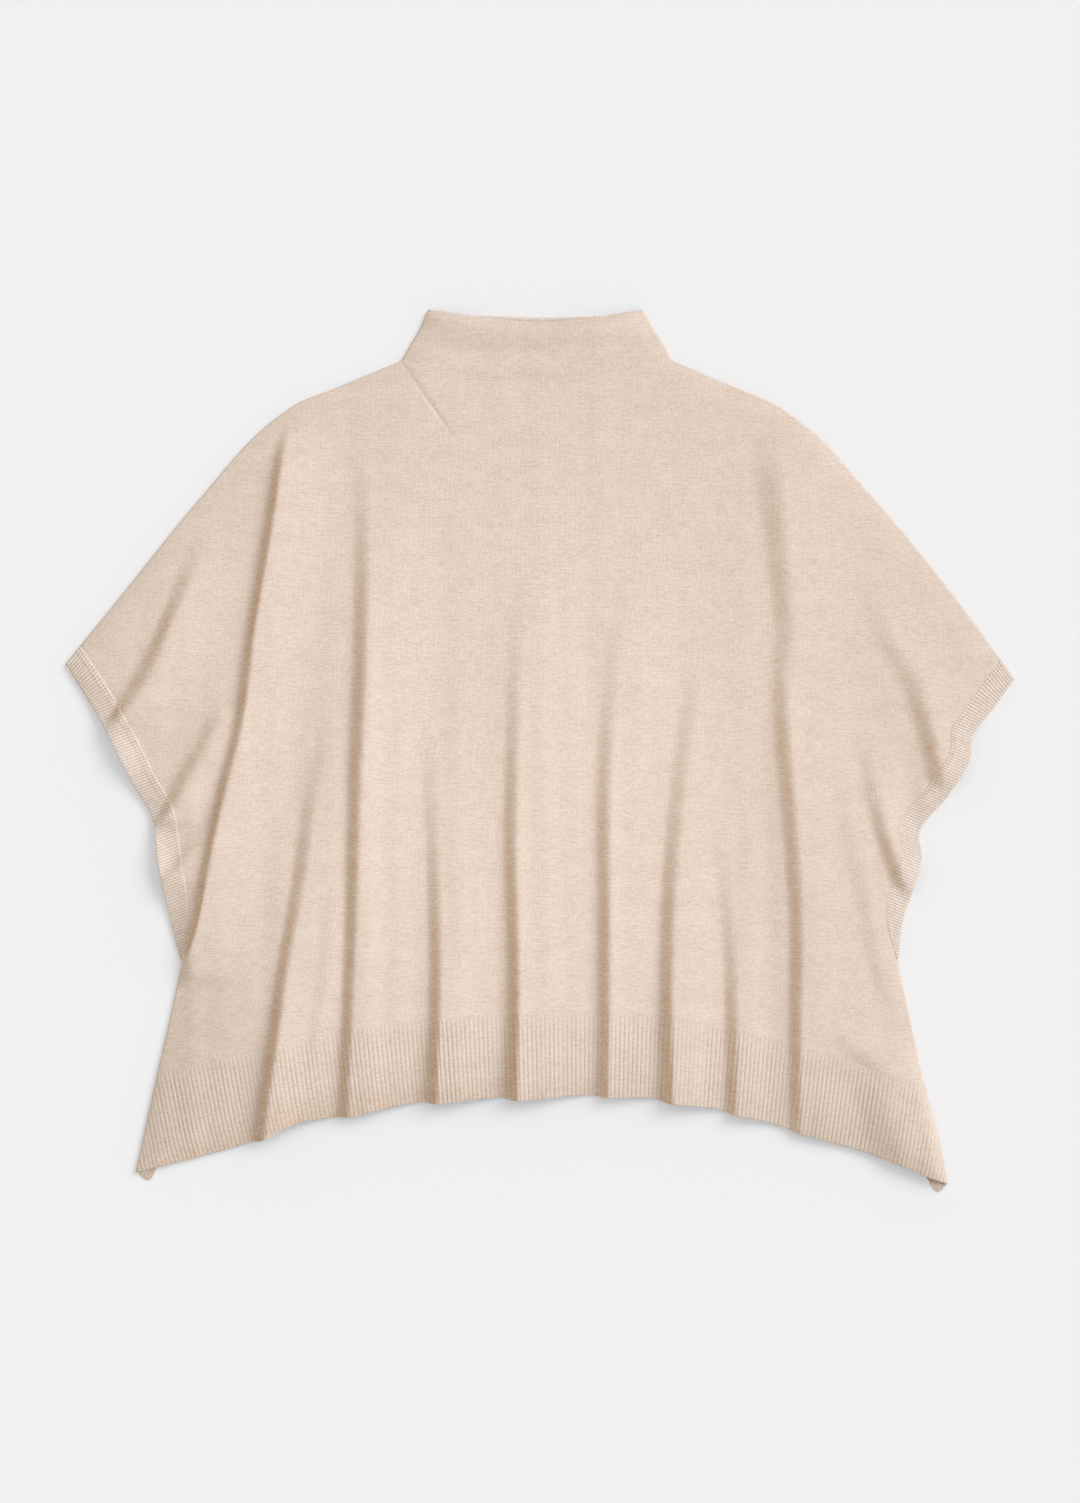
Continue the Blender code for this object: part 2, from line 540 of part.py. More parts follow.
def make_front():
    plan = body_plan(follow_folds=True)
    cloth_object("front_panel", plan, *front_walls(plan, WALL), jersey)
    plan = collar_plan(COLLAR_FRONT_TOP, columns=36, rows=6)
    cloth_object("collar_front", plan, *front_walls(plan, WALL, collar_roll(plan)), jersey)
    plan = hem_plan(FRONT_HEM, HEM_RIBS, SIDE_RIBS, rows=2, dip=HEM_DIP)
    under, over = front_walls(plan, RIB_WALL)
    cloth_object("hem_rib_front", plan, under, over + rib_relief(plan), ribbing, COARSE)
    for side in ("right", "left"):
        plan = trim_plan(side, TRIM_RIBS * POINTS_PER_RIB)
        under, over = front_walls(plan, RIB_WALL)
        cloth_object("armhole_trim_front_" + side, plan, under, over + rib_relief(plan), ribbing, COARSE)


def make_back():
    plan = body_plan(follow_folds=False)
    cloth_object("back_panel", plan, *back_walls(plan, WALL), jersey)
    plan = collar_plan(COLLAR_BACK_TOP, PLAIN_COLUMNS, rows=3)
    cloth_object("collar_back", plan, *back_walls(plan, WALL), jersey)
    plan = hem_plan(BACK_HEM, ribs=28, side_ribs=2, rows=1)
    cloth_object("hem_rib_back", plan, *back_walls(plan, WALL), ribbing)
    for side in ("right", "left"):
        plan = trim_plan(side, columns=TRIM_RIBS // 2)
        cloth_object("armhole_trim_back_" + side, plan, *back_walls(plan, WALL), ribbing)


clear_scene()
garment = bpy.data.collections.new("poncho_sweater")
bpy.context.scene.collection.children.link(garment)
jersey = cloth_material("jersey", PALE_OAT, 0.9)
ribbing = cloth_material("ribbing", RIB_OAT, 0.9)
make_back()
make_front()
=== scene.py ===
"""A knitted poncho sweater laid flat on its back panel, in soft heathered oat yarn.

The front lies uppermost: +Y runs up to the funnel collar, +Z away from the surface, and the
wearer's right sleeve points to -X.  Every piece is a closed knitted wall that takes the place
of one solid of the frame.  Lengths are in millimetres unless a name or a unit says otherwise.
"""
import math
from collections import namedtuple

import bpy
import numpy as np
from bpy.props import FloatProperty, FloatVectorProperty, IntProperty, PointerProperty
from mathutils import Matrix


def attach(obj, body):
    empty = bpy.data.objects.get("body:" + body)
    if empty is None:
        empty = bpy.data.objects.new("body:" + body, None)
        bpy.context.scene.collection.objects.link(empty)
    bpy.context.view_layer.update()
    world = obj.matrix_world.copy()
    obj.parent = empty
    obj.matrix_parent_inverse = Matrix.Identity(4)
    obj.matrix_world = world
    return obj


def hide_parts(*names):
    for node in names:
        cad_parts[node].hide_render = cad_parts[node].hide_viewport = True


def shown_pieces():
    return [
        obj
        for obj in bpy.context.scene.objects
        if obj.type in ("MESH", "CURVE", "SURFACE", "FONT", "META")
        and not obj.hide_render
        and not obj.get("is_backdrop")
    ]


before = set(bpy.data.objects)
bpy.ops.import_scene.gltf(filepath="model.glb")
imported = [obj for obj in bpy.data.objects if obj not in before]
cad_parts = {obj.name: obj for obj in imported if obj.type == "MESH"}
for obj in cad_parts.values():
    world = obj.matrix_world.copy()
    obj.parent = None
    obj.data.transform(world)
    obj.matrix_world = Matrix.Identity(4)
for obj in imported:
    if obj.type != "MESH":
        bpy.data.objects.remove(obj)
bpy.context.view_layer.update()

bl_info = {
    "name": "Knitted poncho sweater",
    "version": (1, 0, 0),
    "blender": (4, 5, 0),
    "location": "3D View > Sidebar > Sweater",
    "description": "Builds a knitted poncho sweater that lies flat, and the stage round it",
    "category": "Object",
}

MM = 0.001
BODY = "root"
SIDES = ("right", "left")
LAYERS = ("front", "back")
CLOTH_MAP = "cloth"        # UV map that holds places on the cloth itself, in millimetres
# Point attributes, from 0 to 1, that bring painted shade and painted highlight into the yarn's
# colour: how steeply the cloth stands there (painted shade), and whether the place lies in a furrow
# of the ribbing (painted shade) or on the crown of a loop that stands out (painted highlight).
MASKS = ("steepness", "furrow", "crown")

Mark = namedtuple("Mark", "place x y")

# The outline, from the neck point round to the hem's corner.
SHOULDER = {
    "right": [Mark("neck point", -124.2, 350.6), Mark("shoulder", -185.4, 325.2),
              Mark("shoulder end", -220.5, 310.7), Mark("bend", -242.0, 295.2),
              Mark("upper sleeve", -307.0, 224.9), Mark("lower sleeve", -376.8, 139.0),
              Mark("sleeve tip", -426.6, 77.9)],
    "left": [Mark("neck point", 118.8, 350.6), Mark("shoulder", 179.1, 324.9),
             Mark("shoulder end", 212.4, 310.4), Mark("bend", 234.0, 295.6),
             Mark("upper sleeve", 301.0, 225.5), Mark("lower sleeve", 372.2, 138.8),
             Mark("sleeve tip", 426.6, 64.4)],
}
ARMHOLE = {
    "right": [Mark("sleeve tip", -426.6, 77.9), Mark("first rise", -405.5, 44.0),
              Mark("first dip", -391.0, 20.5), Mark("first lobe", -379.5, -2.0),
              Mark("second rise", -365.0, -32.0), Mark("second dip", -347.5, -63.0),
              Mark("second lobe", -344.5, -84.0), Mark("lower run", -339.0, -122.0),
              Mark("lower end", -332.5, -152.0), Mark("underarm", -322.5, -192.2)],
    "left": [Mark("sleeve tip", 426.6, 64.4), Mark("first rise", 404.0, 33.0),
             Mark("first dip", 388.0, 10.0), Mark("first lobe", 387.5, -3.0),
             Mark("second rise", 369.0, -38.0), Mark("second dip", 341.0, -77.0),
             Mark("second lobe", 343.5, -95.0), Mark("lower run", 336.0, -123.0),
             Mark("lower end", 326.0, -155.0), Mark("underarm", 322.2, -192.2)],
}
SIDE = {
    "right": [Mark("underarm", -322.5, -192.2), Mark("side", -331.5, -236.0),
              Mark("rib top", -344.0, -290.0), Mark("hem corner", -363.6, -379.4)],
    "left": [Mark("underarm", 322.2, -192.2), Mark("side", 333.9, -246.2),
             Mark("rib top", 345.0, -298.0), Mark("flare", 360.8, -358.0),
             Mark("hem corner", 366.6, -390.2)],
}
COLLAR_SIDE = {
    "right": [Mark("neck point", -124.2, 350.6), Mark("flare", -115.5, 366.0),
              Mark("stand", -108.9, 377.0), Mark("top corner", -100.8, 395.5)],
    "left": [Mark("neck point", 118.8, 350.6), Mark("flare", 110.5, 366.0),
             Mark("stand", 103.0, 377.0), Mark("top corner", 92.7, 395.5)],
}

# The lines that run across, from the wearer's right to the left.
COLLAR_BASE = [Mark("neck point", -124.2, 350.6), Mark("right dip", -81.0, 340.0),
               Mark("lowest", -42.0, 334.5), Mark("centre", 10.0, 336.5),
               Mark("left dip", 76.5, 342.5), Mark("neck point", 118.8, 350.6)]
COLLAR_FRONT_TOP = [Mark("corner", -100.8, 396.3), Mark("right end", -74.0, 392.5),
                    Mark("right roll", -39.0, 387.6), Mark("centre", 2.0, 385.2),
                    Mark("left roll", 34.0, 387.4), Mark("left end", 64.0, 391.2),
                    Mark("corner", 92.7, 396.3)]
COLLAR_BACK_TOP = [Mark("corner", -100.8, 395.3), Mark("right end", -74.0, 392.2),
                   Mark("right", -42.0, 391.0), Mark("centre", 3.0, 389.7),
                   Mark("left", 33.0, 390.2), Mark("left end", 60.0, 391.2),
                   Mark("corner", 92.7, 395.3)]
RIB_TOP = [Mark("side", -344.0, -290.0), Mark("right fold", -270.0, -272.5),
           Mark("right", -165.0, -248.0), Mark("right centre", -81.0, -238.0),
           Mark("centre", 20.0, -236.0), Mark("left centre", 105.0, -237.0),
           Mark("left", 184.0, -251.0), Mark("left fold", 259.0, -273.0),
           Mark("side", 345.0, -298.0)]
FRONT_HEM = [Mark("corner", -363.6, -379.4), Mark("corner ease", -322.0, -369.0),
             Mark("right fold", -252.0, -348.5), Mark("right ease", -221.0, -334.5),
             Mark("right", -189.0, -330.0), Mark("right centre", -112.0, -316.5),
             Mark("centre", -20.0, -311.5), Mark("left centre", 90.0, -311.5),
             Mark("left", 180.0, -327.0), Mark("left fold", 245.0, -347.0),
             Mark("corner ease", 315.0, -368.0), Mark("corner", 366.6, -390.2)]
BACK_HEM = [Mark("corner", -363.6, -378.0), Mark("peeping tab", -352.0, -386.5),
            Mark("tab ease", -343.0, -373.0), Mark("right fold", -252.0, -342.0),
            Mark("right centre", -112.0, -310.5), Mark("centre", -20.0, -305.5),
            Mark("left centre", 90.0, -305.5), Mark("left fold", 245.0, -341.0),
            Mark("tab ease", 342.0, -376.5), Mark("peeping tab", 360.0, -396.5),
            Mark("corner", 366.6, -389.0)]

# The folds.  Each path runs down the middle of the fold's steep flank.  The cloth climbs
# `height` over the width `flank` and eases down again over `run`, on the +X side of the path.
# It reaches its full height at the share `rise` of the way down, and dies away over `fade`
# beyond the path's end.  A `skew` above 1 draws the steep part of the flank up to its crest.
Fold = namedtuple("Fold", "name height flank run rise fade path skew", defaults=(1.0,))
BODY_FOLDS = [
    Fold("right armhole", 9.5, 12.5, 60, 0.12, 26,
         [(-232.5, 292), (-244, 210), (-262, 99), (-273, 18), (-287.5, -39), (-300, -100),
          (-315.5, -172), (-324.5, -192)], 1.7),
    Fold("right outer", 16.5, 14.5, 62, 1.6, 45,
         [(-200, 50), (-196, 20), (-205.5, -36), (-216.5, -115), (-229.5, -193), (-239.5, -266),
          (-250.5, -345)]),
    Fold("right", 10, 15, 72, 0.45, 45,
         [(-161, 262), (-160.5, 156), (-162, 60), (-165.5, -13), (-169, -153), (-172.5, -249),
          (-175.5, -325)]),
    Fold("right inner", 14.5, 14.5, 66, 1.5, 45,
         [(-97.5, 32), (-99, 2), (-98, -40), (-96, -108), (-93.5, -198), (-96, -314)]),
    Fold("centre", 15, 15, 72, 1.4, 45,
         [(-16.5, 178), (-19, 150), (-22.5, 90), (-25, 0), (-26.5, -81), (-23.5, -193),
          (-24.5, -311)]),
    Fold("left inner", 9.5, 15, 52, 0.9, 45,
         [(75, 158), (70, 128), (62, 54), (57, -40), (57.5, -137), (57.5, -238), (56.5, -311)]),
    Fold("left", 14, 16, 56, 1.4, 45,
         [(137, 98), (136, 68), (124, -24), (116, -114), (113, -216), (114, -312)]),
    Fold("left short", 9, 15, 46, 1.2, 45,
         [(159, -60), (162, -90), (168.5, -165), (171.5, -249), (171.5, -326)]),
    Fold("left outer", 9, 15.5, 80, 0.28, 90,
         [(214, 110), (216, 30), (224, -65), (229.5, -155), (229, -245), (229, -305)]),
]
SLEEVE_FOLDS = [
    Fold("left shoulder", 7.2, 26, 85, 0.5, 80,
         [(196, 290), (202.5, 251), (209.5, 199), (214.5, 155), (217, 128)]),
    Fold("right small", 1.8, 13, 22, 0.5, 40,
         [(-186, -110), (-195, -190), (-204, -260)]),
    Fold("right sleeve upper", 8.6, 16, 48, 0.75, 26,
         [(-303, 200), (-310.5, 178), (-331, 126), (-351, 78), (-362, 58), (-378, 34)]),
    Fold("right sleeve middle", 7, 15, 38, 0.5, 16,
         [(-286.5, 48), (-297.5, 19), (-305, 2), (-318, -20), (-329, -42), (-339, -59)]),
    Fold("right sleeve lower", 4.5, 14, 26, 0.6, 20,
         [(-301, -70), (-318, -91), (-335, -113)]),
    Fold("left sleeve upper", 9.2, 20, 46, 1.3, 28,
         [(287, 160), (307, 102), (330, 61), (343, 25), (350, 0), (353, -16)]),
    Fold("left sleeve middle", 8.0, 16, 28, 1.0, 22,
         [(286, 20), (291, -2), (298, -44), (304, -68), (311, -90), (320, -114)]),
    Fold("left sleeve lower", 2.6, 18, 34, 0.6, 50,
         [(255.5, 0), (268, -38), (272, -70), (288, -132), (293.5, -162), (300, -194)]),
    Fold("left side", 4.2, 38, 50, 0.15, 55,
         [(262, -250), (279, -280), (289, -300), (296, -320), (301, -338)]),
]
TOP_FLANK = 1.2            # a flank's width at the top of its path, against `flank`
LOW_FLANK = 0.8            # and at the path's end

# The air under the front: none at its edges, rising to `height` over a run of cloth.
Loft = namedtuple("Loft", "y height run")
LOFTS = {
    "right": [Loft(-390, 13.5, 70), Loft(-245, 11.0, 66), Loft(-160, 6.5, 50), Loft(-30, 3.0, 36),
              Loft(78, 3.0, 30), Loft(300, 2.5, 22), Loft(400, 2.0, 18)],
    "left": [Loft(-390, 3.5, 55), Loft(-192, 3.0, 50), Loft(78, 3.0, 30), Loft(300, 2.5, 22),
             Loft(400, 2.0, 18)],
}
LOFT_CHANGE = 190.0        # half the width over which the right loft changes into the left one
HEM_RUN = 40.0             # run over which the loft falls to the hem
ARMHOLE_TOP_FADE = 40.0    # how far into the armhole the joined edge still holds the cloth down
ARMHOLE_LOW_FADE = 45.0
HELD_EDGE = {"right": 14.0, "left": 12.0}  # strip along a joined edge in which folds flatten out
HEM_DIP = 0.17             # how far the hem's edge drops where a fold lifts it, as a share
HEM_DIP_SHIFT = 5.0        # and how far beside the fold's crest

# Short puckers and bulges: oriented ridges, or hollows where the height is below 0.
Pucker = namedtuple("Pucker", "name x y length width turn height")
PUCKERS = [
    Pucker("left rib ridge", 300, -277, 26, 5.5, -33, 0.9),
    Pucker("left rib hollow", 297, -288, 22, 4.5, -33, -1.3),
    Pucker("left rib crease", 272, -250, 22, 5.0, -62, 0.6),
    Pucker("right rib ridge", -312, -283, 34, 7.0, 17, 0.6),
    Pucker("left corner", 340, -350, 62, 37, -77, 7.3),
    Pucker("right armhole lobe", -384, -3, 31, 17, -62, 10.5),
    Pucker("right armhole lower lobe", -351, -100, 30, 18, -82, 13.0),
]

# Fashioned lines beside the collar, where wales were dropped: a fine step `depth` deep, with a
# raised loop beside it.  STEP and LOOP say how far beside the line they lie, and their widths.
Fashioned = namedtuple("Fashioned", "depth path")
FASHIONED = (Fashioned(1.0, [(-124.2, 348.5), (-78.0, 281.0), (-65.0, 261.0)]),
             Fashioned(0.25, [(115.2, 347.0), (86.4, 296.5), (77.4, 279.5)]))
STEP, LOOP = (1.2, 1.3), (-1.8, 1.5)
FASHIONED_FOOT, FASHIONED_TOP = 45.0, 4.0    # lengths over which a line fades out at its ends
LOOP_RISE = 0.4            # height of the loop, against the step's depth
FASHIONED_PAINTED_LIGHT = 0.6       # how much painted shade the step takes, and how much painted highlight the loop takes

# The shallow hollow along the collar's base, where the collar turns up out of the body.
HOLLOW_DROP, HOLLOW_WIDTH = 1.5, 6.0         # how far below the line it lies, and its width
HOLLOW_DEPTH, HOLLOW_REACH = 1.5, 125.0      # depth at the centre, and how far out it dies away
HOLLOW_SHADE = 0.2         # how much painted shade it takes
SHADE_REACH, SHADE_FADE = 115.0, 45.0        # how far out the shade ends, and over what length

# Ripples of the cloth: how many waves of each kind there are, and the turn of each, in radians
# for a millimetre.  Narrow ones grow from NARROW_TOP downwards, over NARROW_RUN.
RIPPLE_SEED, WAVES = 11, 26
BROAD_ACROSS, BROAD_DOWN, NARROW_ACROSS = (0.012, 0.075), (0.001, 0.016), (0.13, 0.24)
BROAD_SHARE, NARROW_SHARE = 1.9, 0.55
BROAD_CALM = 18.0          # how much the tighter ones of the broad waves are lower
NARROW_LEAN = 0.3
NARROW_TOP, NARROW_RUN, NARROW_LEAST = 220.0, 340.0, 0.25

PARTING = 0.3              # gap between the front and the back layer
EDGE_STEPS = np.array([0.0, 0.25, 0.7, 1.3, 2.1, 3.2])   # distances of rows from a rounded edge
BESIDE_EDGE = len(EDGE_STEPS) - 1            # how many of these rows crowd beside an edge
BESIDE_SEAM = 3                              # and beside a seam
EDGE_SLIT = 0.18           # what is left of the wall, as a share, at the tip of a rounded edge
JOINED_RADIUS = 1.5        # rounding of the edges at which the layers are joined
BAND_RADIUS = 1.4          # and of the free edges of the collar and the hem
TRIM_RADIUS = 1.3
UNSHADED_STRIP = 14.0           # strip along the sides in which steep cloth takes no painted shade
SLOPE_REACH = 0.5          # distance over which the slope of the cloth is taken
SHARP_EDGE = math.radians(58.0)              # faces that meet at more than this aren't smoothed

# Rows and columns are the even ones, between those that crowd beside the edges.
BODY_ROWS = {"shoulder": 96, "armhole": 66, "side": 40}
BODY_COLUMNS = 327
BODY_HOLD = 4              # how fast the bends of the neck and the rib top die away inside
BODY_COARSE = 4            # columns of the front panel's face to one of its hidden side
BACK_THINNING = 2          # columns of the front panel to one of the back panel
# The back panel's underside lifts off the surface where its ripples are above UNDERSIDE_FLAT.
UNDERSIDE_RISE, UNDERSIDE_FLAT = 0.45, 0.35

TRIM_WIDTH = 22.0          # armhole trim, from its seam to its edge
TRIM_TAPER = 0.24          # share of the armhole over which it runs out at the underarm
TRIM_END = 0.985           # where the trim stops, as a share of the armhole
TIP_TURN = 0.2             # share of the armhole over which its end turns into the shoulder line
TIP_PLACES = 12            # places of the shoulder line that give its direction at the tip
TRIM_RELIEF = {"front": 0.7, "back": 0.2}    # how far ribs and linking stitches stand out
TRIM_SEAM_FADE = 2.0       # distance from the seam over which the ribs rise
TRIM_FURROW_SHADE = 0.75   # how much of the furrow's painted shade the trims take
TRIM_PALENESS = (0.55, 0.38)                 # of the loops' pale tint: an even paleness, in furrows too, and the painted highlight that crests add

COLLAR_COLUMNS, COLLAR_ROWS = 220, 34
LIP_HEIGHT = 6.0           # how far the front collar rolls up off the back collar
LIP_RISE = (0.38, 0.85)    # shares of the collar's height between which it climbs
LIP_FALL = 0.9             # share of the roll's height by which its edge turns down again
LIP_PAINTED_LIGHT = 5.0             # width of the painted light along the top of the back collar, where the front's lip shades it

HEM_ROWS = 12
SIDE_RIBS = 10             # ribs at each end of the hem that run out at the side edge
CORNER_INSET = 0.4         # how far inside the corner the outermost rib line starts, in columns
HEM_SEAM_FADE = 3.0        # distance from the seam over which the ribs rise
BACK_RIB_HEIGHT = 0.3      # the back hem's ribs are low
POINTS_PER_RIB = 8
RIB_ROUNDNESS = 0.6        # the lower, the broader the crests of the ribs
RIB_PITCH = 4.4            # two wales: one that stands out as the rib, and one in the furrow
RIB_DEPTHS = (0.6, 1.15)   # range of the furrows' depth, which changes from rib to rib
RIB_SEED = 5
RIB_FURROW_SHADE = 0.65    # how much of the furrow's painted shade the hem takes
BACK_HEM_SHADE = 0.6       # and the back hem at least, which lies in the front's shade

# The two rows of linking stitches beside a trim's seam: distance from it, and how far they show.
Linking = namedtuple("Linking", "distance strength")
LINKING_ROWS = (Linking(1.9, 0.7), Linking(5.1, 0.95))
LINKING_WIDTH = 0.75       # of one stitch, to each side of its middle
LINKING_BEAT = (0.7, 0.3)  # height of a stitch, and how far it swells at each rib
LINKING_END = (0.4, 0.75)  # shares of the armhole between which they sink into the ribbing
LINKING_PATCHES, LINKING_RANGE = 30, (0.6, 1.1)          # how uneven they are
LINKING_SEEDS = {"right": 5, "left": 4}
# Distances of a trim's rows from its seam, close together at the linking stitches.
LINKING_STEPS = np.array([0.0, 0.6, 1.2, 1.9, 2.5, 3.3, 4.0, 4.5, 5.1, 5.7, 6.5, 9.0, 12.0, 15.5])

# The two finishes: `paleness` multiplies the yarn's colours, `wander` says how many wales the
# columns of stitches stray sideways, and `furrow_shade` how much painted shade lies between them.
Finish = namedtuple("Finish", "slot material paleness wander furrow_shade")
JERSEY = Finish("jersey", "jersey knit", (1.0, 1.0, 1.0), 1.2, 0.07)
RIBBING = Finish("ribbing", "rib knit", (0.99, 1.005, 1.01), 0.0, 0.08)

# What each kind of piece is cut from: its blank's width and length in metres, and its finish.
Blank = namedtuple("Blank", "width length finish")
PANEL = Blank(0.86, 0.65, JERSEY)
COLLAR = Blank(0.245, 0.062, JERSEY)
HEM = Blank(0.76, 0.10, RIBBING)
TRIM = Blank(0.33, 0.024, RIBBING)

# Tints of the knit, which paint shade and highlight: the mask that brings each, the values of it
# between which the tint sets in, and the colour that it multiplies the yarn's by.  Steep cloth
# takes a warm painted shade, deeper at the steepest, furrows a painted shade, and crowns of loops
# a painted highlight.
Tint = namedtuple("Tint", "mask low high colour")
TINTS = (Tint("steepness", 0.12, 1.1, (0.965, 0.877, 0.783)),
         Tint("steepness", 1.0, 2.2, (0.88, 0.80, 0.70)),
         Tint("furrow", 0.0, 1.0, (0.83, 0.775, 0.72)),
         Tint("crown", 0.0, 1.0, (1.12, 1.15, 1.19)))

# Uneven textures of the yarn: patches to a millimetre across the cloth and down it.
Grain = namedtuple("Grain", "across down detail roughness weight", defaults=(0.55, 1.0))
HEATHER = (Grain(0.12, 0.50, 4.0, 0.78, 0.46),           # flecks along the courses
           Grain(0.8, 1.0, 1.0, weight=0.44),            # hairs
           Grain(0.03, 0.07, 2.0, weight=0.11))          # broad cloudy patches
HEATHER_RANGE = (0.405, 0.575)               # range of their sum from the deep yarn to the pale
TUFTS, LIE = Grain(0.33, 0.42, 3.0, 0.7), Grain(0.06, 0.09, 2.0)     # of the brushed nap
STRAY = Grain(0.05, 0.05, 1.0)               # by which the columns of stitches stray
LEG_CLIMB, LEG_BEAT = -1.5, 0.22             # slant of a stitch's legs, and how far they swell
# What the deep flecks of the yarn have, and what the pale ones have: how rough they are, and
# how much of its painted shade a steep place takes there.
ROUGHNESS, STEEP_PAINTED_SHADE = (0.98, 0.88), (1.5, 0.55)

# Relief that is too fine for the mesh: how strongly it shows, and its depth.
Relief = namedtuple("Relief", "strength depth")
STITCH_RELIEF, NAP_RELIEF = Relief(0.6, 0.45), Relief(0.5, 0.5)
WOOL = {"Metallic": 0.0, "Specular_IOR_Level": 0.08, "Sheen_Weight": 0.05,
        "Sheen_Roughness": 0.55, "Sheen_Tint": (1.0, 0.80, 0.62, 1.0)}

# The stage, in metres.
FLOOR_REACH, FLOOR_LEVEL = 14.0, -0.15 * MM
GLOW_WIDTH, GLOW_PLACE = 0.3, (0.03, 0.06, 0.45)
CAMERA_PLACE = (0.0, -0.9 * MM)              # where it stands over the garment
CAMERA_REACH = 100.0
SENSOR_WIDTH = 36.0                          # this one in millimetres, as is the camera's lens


class SweaterSizes(bpy.types.PropertyGroup):
    """Sizes of the knitting."""
    wall: FloatProperty(
        name="Jersey thickness", description="Thickness of the plain knitted cloth",
        default=1.8 * MM, min=1.0 * MM, max=3.0 * MM, precision=4, unit="LENGTH")
    rib_wall: FloatProperty(
        name="Rib cloth thickness", description="Thickness of the ribbing in its furrows",
        default=1.5 * MM, min=0.8 * MM, max=3.0 * MM, precision=4, unit="LENGTH")
    rib_height: FloatProperty(
        name="Rib height", description="How far a rib stands above its furrow",
        default=0.65 * MM, min=0.0, max=1.5 * MM, precision=4, unit="LENGTH")
    hem_ribs: IntProperty(
        name="Hem ribs", description="Ribs across the front hem", default=196, min=40, max=240)
    trim_ribs: IntProperty(
        name="Trim ribs", description="Ribs along one armhole trim", default=112, min=40, max=160)
    ripple: FloatProperty(
        name="Ripple", description="Height of the small uneven waves of the cloth",
        default=0.55 * MM, min=0.0, max=2.0 * MM, precision=5, unit="LENGTH")
    wale: FloatProperty(
        name="Wale width", description="Width of one column of knit stitches",
        default=2.2 * MM, min=1.0 * MM, max=6.0 * MM, precision=5, unit="LENGTH")
    course: FloatProperty(
        name="Course height", description="Height of one row of knit stitches",
        default=1.7 * MM, min=1.0 * MM, max=6.0 * MM, precision=5, unit="LENGTH")


class SweaterColours(bpy.types.PropertyGroup):
    """Colours of the yarn and of the floor."""
    pale_yarn: FloatVectorProperty(
        name="Pale fibres", description="The lighter fibres of the heathered yarn",
        subtype="COLOR", size=3, min=0.0, max=1.0, default=(0.813, 0.683, 0.588))
    deep_yarn: FloatVectorProperty(
        name="Deep fibres", description="The darker fibres of the heathered yarn",
        subtype="COLOR", size=3, min=0.0, max=1.0, default=(0.657, 0.519, 0.418))
    floor: FloatVectorProperty(
        name="Floor", description="The pale floor and the space round it",
        subtype="COLOR", size=3, min=0.0, max=1.0, default=(0.879, 0.879, 0.879))


class SweaterStage(bpy.types.PropertyGroup):
    """Camera and light."""
    camera_height: FloatProperty(
        name="Camera height", description="Height of the camera above the surface",
        default=2.5, min=0.5, max=10.0, unit="LENGTH")
    frame_height: FloatProperty(
        name="Frame height", description="Length of the surface that the picture takes in",
        default=1.3527, min=0.2, max=5.0, unit="LENGTH")
    ambient: FloatProperty(
        name="Soft light", description="Share of the light that comes from all round",
        default=0.62, min=0.0, max=2.0, subtype="FACTOR")
    key: FloatProperty(
        name="Key light", description="Share of the light that comes from the key side",
        default=0.38, min=0.0, max=2.0, subtype="FACTOR")
    glow: FloatProperty(
        name="Centre light", description="Extra light on the middle of the garment alone",
        default=0.155, min=0.0, max=1.0, subtype="FACTOR")
    floor_shadow: FloatProperty(
        name="Floor shadow", description="Share of the key light's shadow that the floor takes",
        default=0.6, min=0.0, max=1.0, subtype="FACTOR")
    key_rise: FloatProperty(
        name="Key elevation", description="Height of the key light above the horizon",
        default=math.radians(36.0), min=0.1, max=1.5, subtype="ANGLE")
    key_turn: FloatProperty(
        name="Key direction", description="Direction of the key light, from the wearer's left",
        default=math.radians(18.0), min=-3.2, max=3.2, subtype="ANGLE")
    floor_turn: FloatProperty(
        name="Floor shadow direction", description="Direction of the key light on the floor",
        default=math.radians(40.0), min=-3.2, max=3.2, subtype="ANGLE")
    key_spread: FloatProperty(
        name="Key softness", description="Angle that the key light fills",
        default=math.radians(34.0), min=0.0, max=1.5, subtype="ANGLE")
    soft_colour: FloatVectorProperty(
        name="Soft light colour", description="Colour of the light that comes from all round",
        subtype="COLOR", size=3, min=0.0, max=2.0, default=(1.04, 1.0, 0.93))


# ---------------------------------------------------------------- lines and heights

def travelled(places, axis=0):
    """Length run along a line, or along the lines of a grid in one direction, up to each place."""
    steps = np.linalg.norm(np.diff(places, axis=axis), axis=-1)
    start = np.zeros_like(np.take(steps, [0], axis=axis))
    return np.concatenate((start, np.cumsum(steps, axis=axis)), axis=axis)


def smooth(points, spacing=2.0):
    """A smooth curve through marks or pairs of x and y, as closely spaced places along it."""
    knots = np.array([point[-2:] for point in points], dtype=float)
    chord = travelled(knots)
    slope = np.gradient(knots, chord, axis=0)
    at = np.linspace(0.0, chord[-1], max(3, int(chord[-1] / spacing)))
    span = np.clip(np.searchsorted(chord, at, side="right") - 1, 0, len(knots) - 2)
    length = (chord[span + 1] - chord[span])[:, None]
    t = (at - chord[span])[:, None] / length
    return ((2 * t ** 3 - 3 * t ** 2 + 1) * knots[span]
            + (t ** 3 - 2 * t ** 2 + t) * length * slope[span]
            + (3 * t ** 2 - 2 * t ** 3) * knots[span + 1]
            + (t ** 3 - t ** 2) * length * slope[span + 1])


def along(line, share):
    """The place on a line at a share of its length."""
    length = travelled(line)
    at = np.asarray(share) * length[-1]
    return np.stack([np.interp(at, length, line[:, axis]) for axis in (0, 1)], axis=-1)


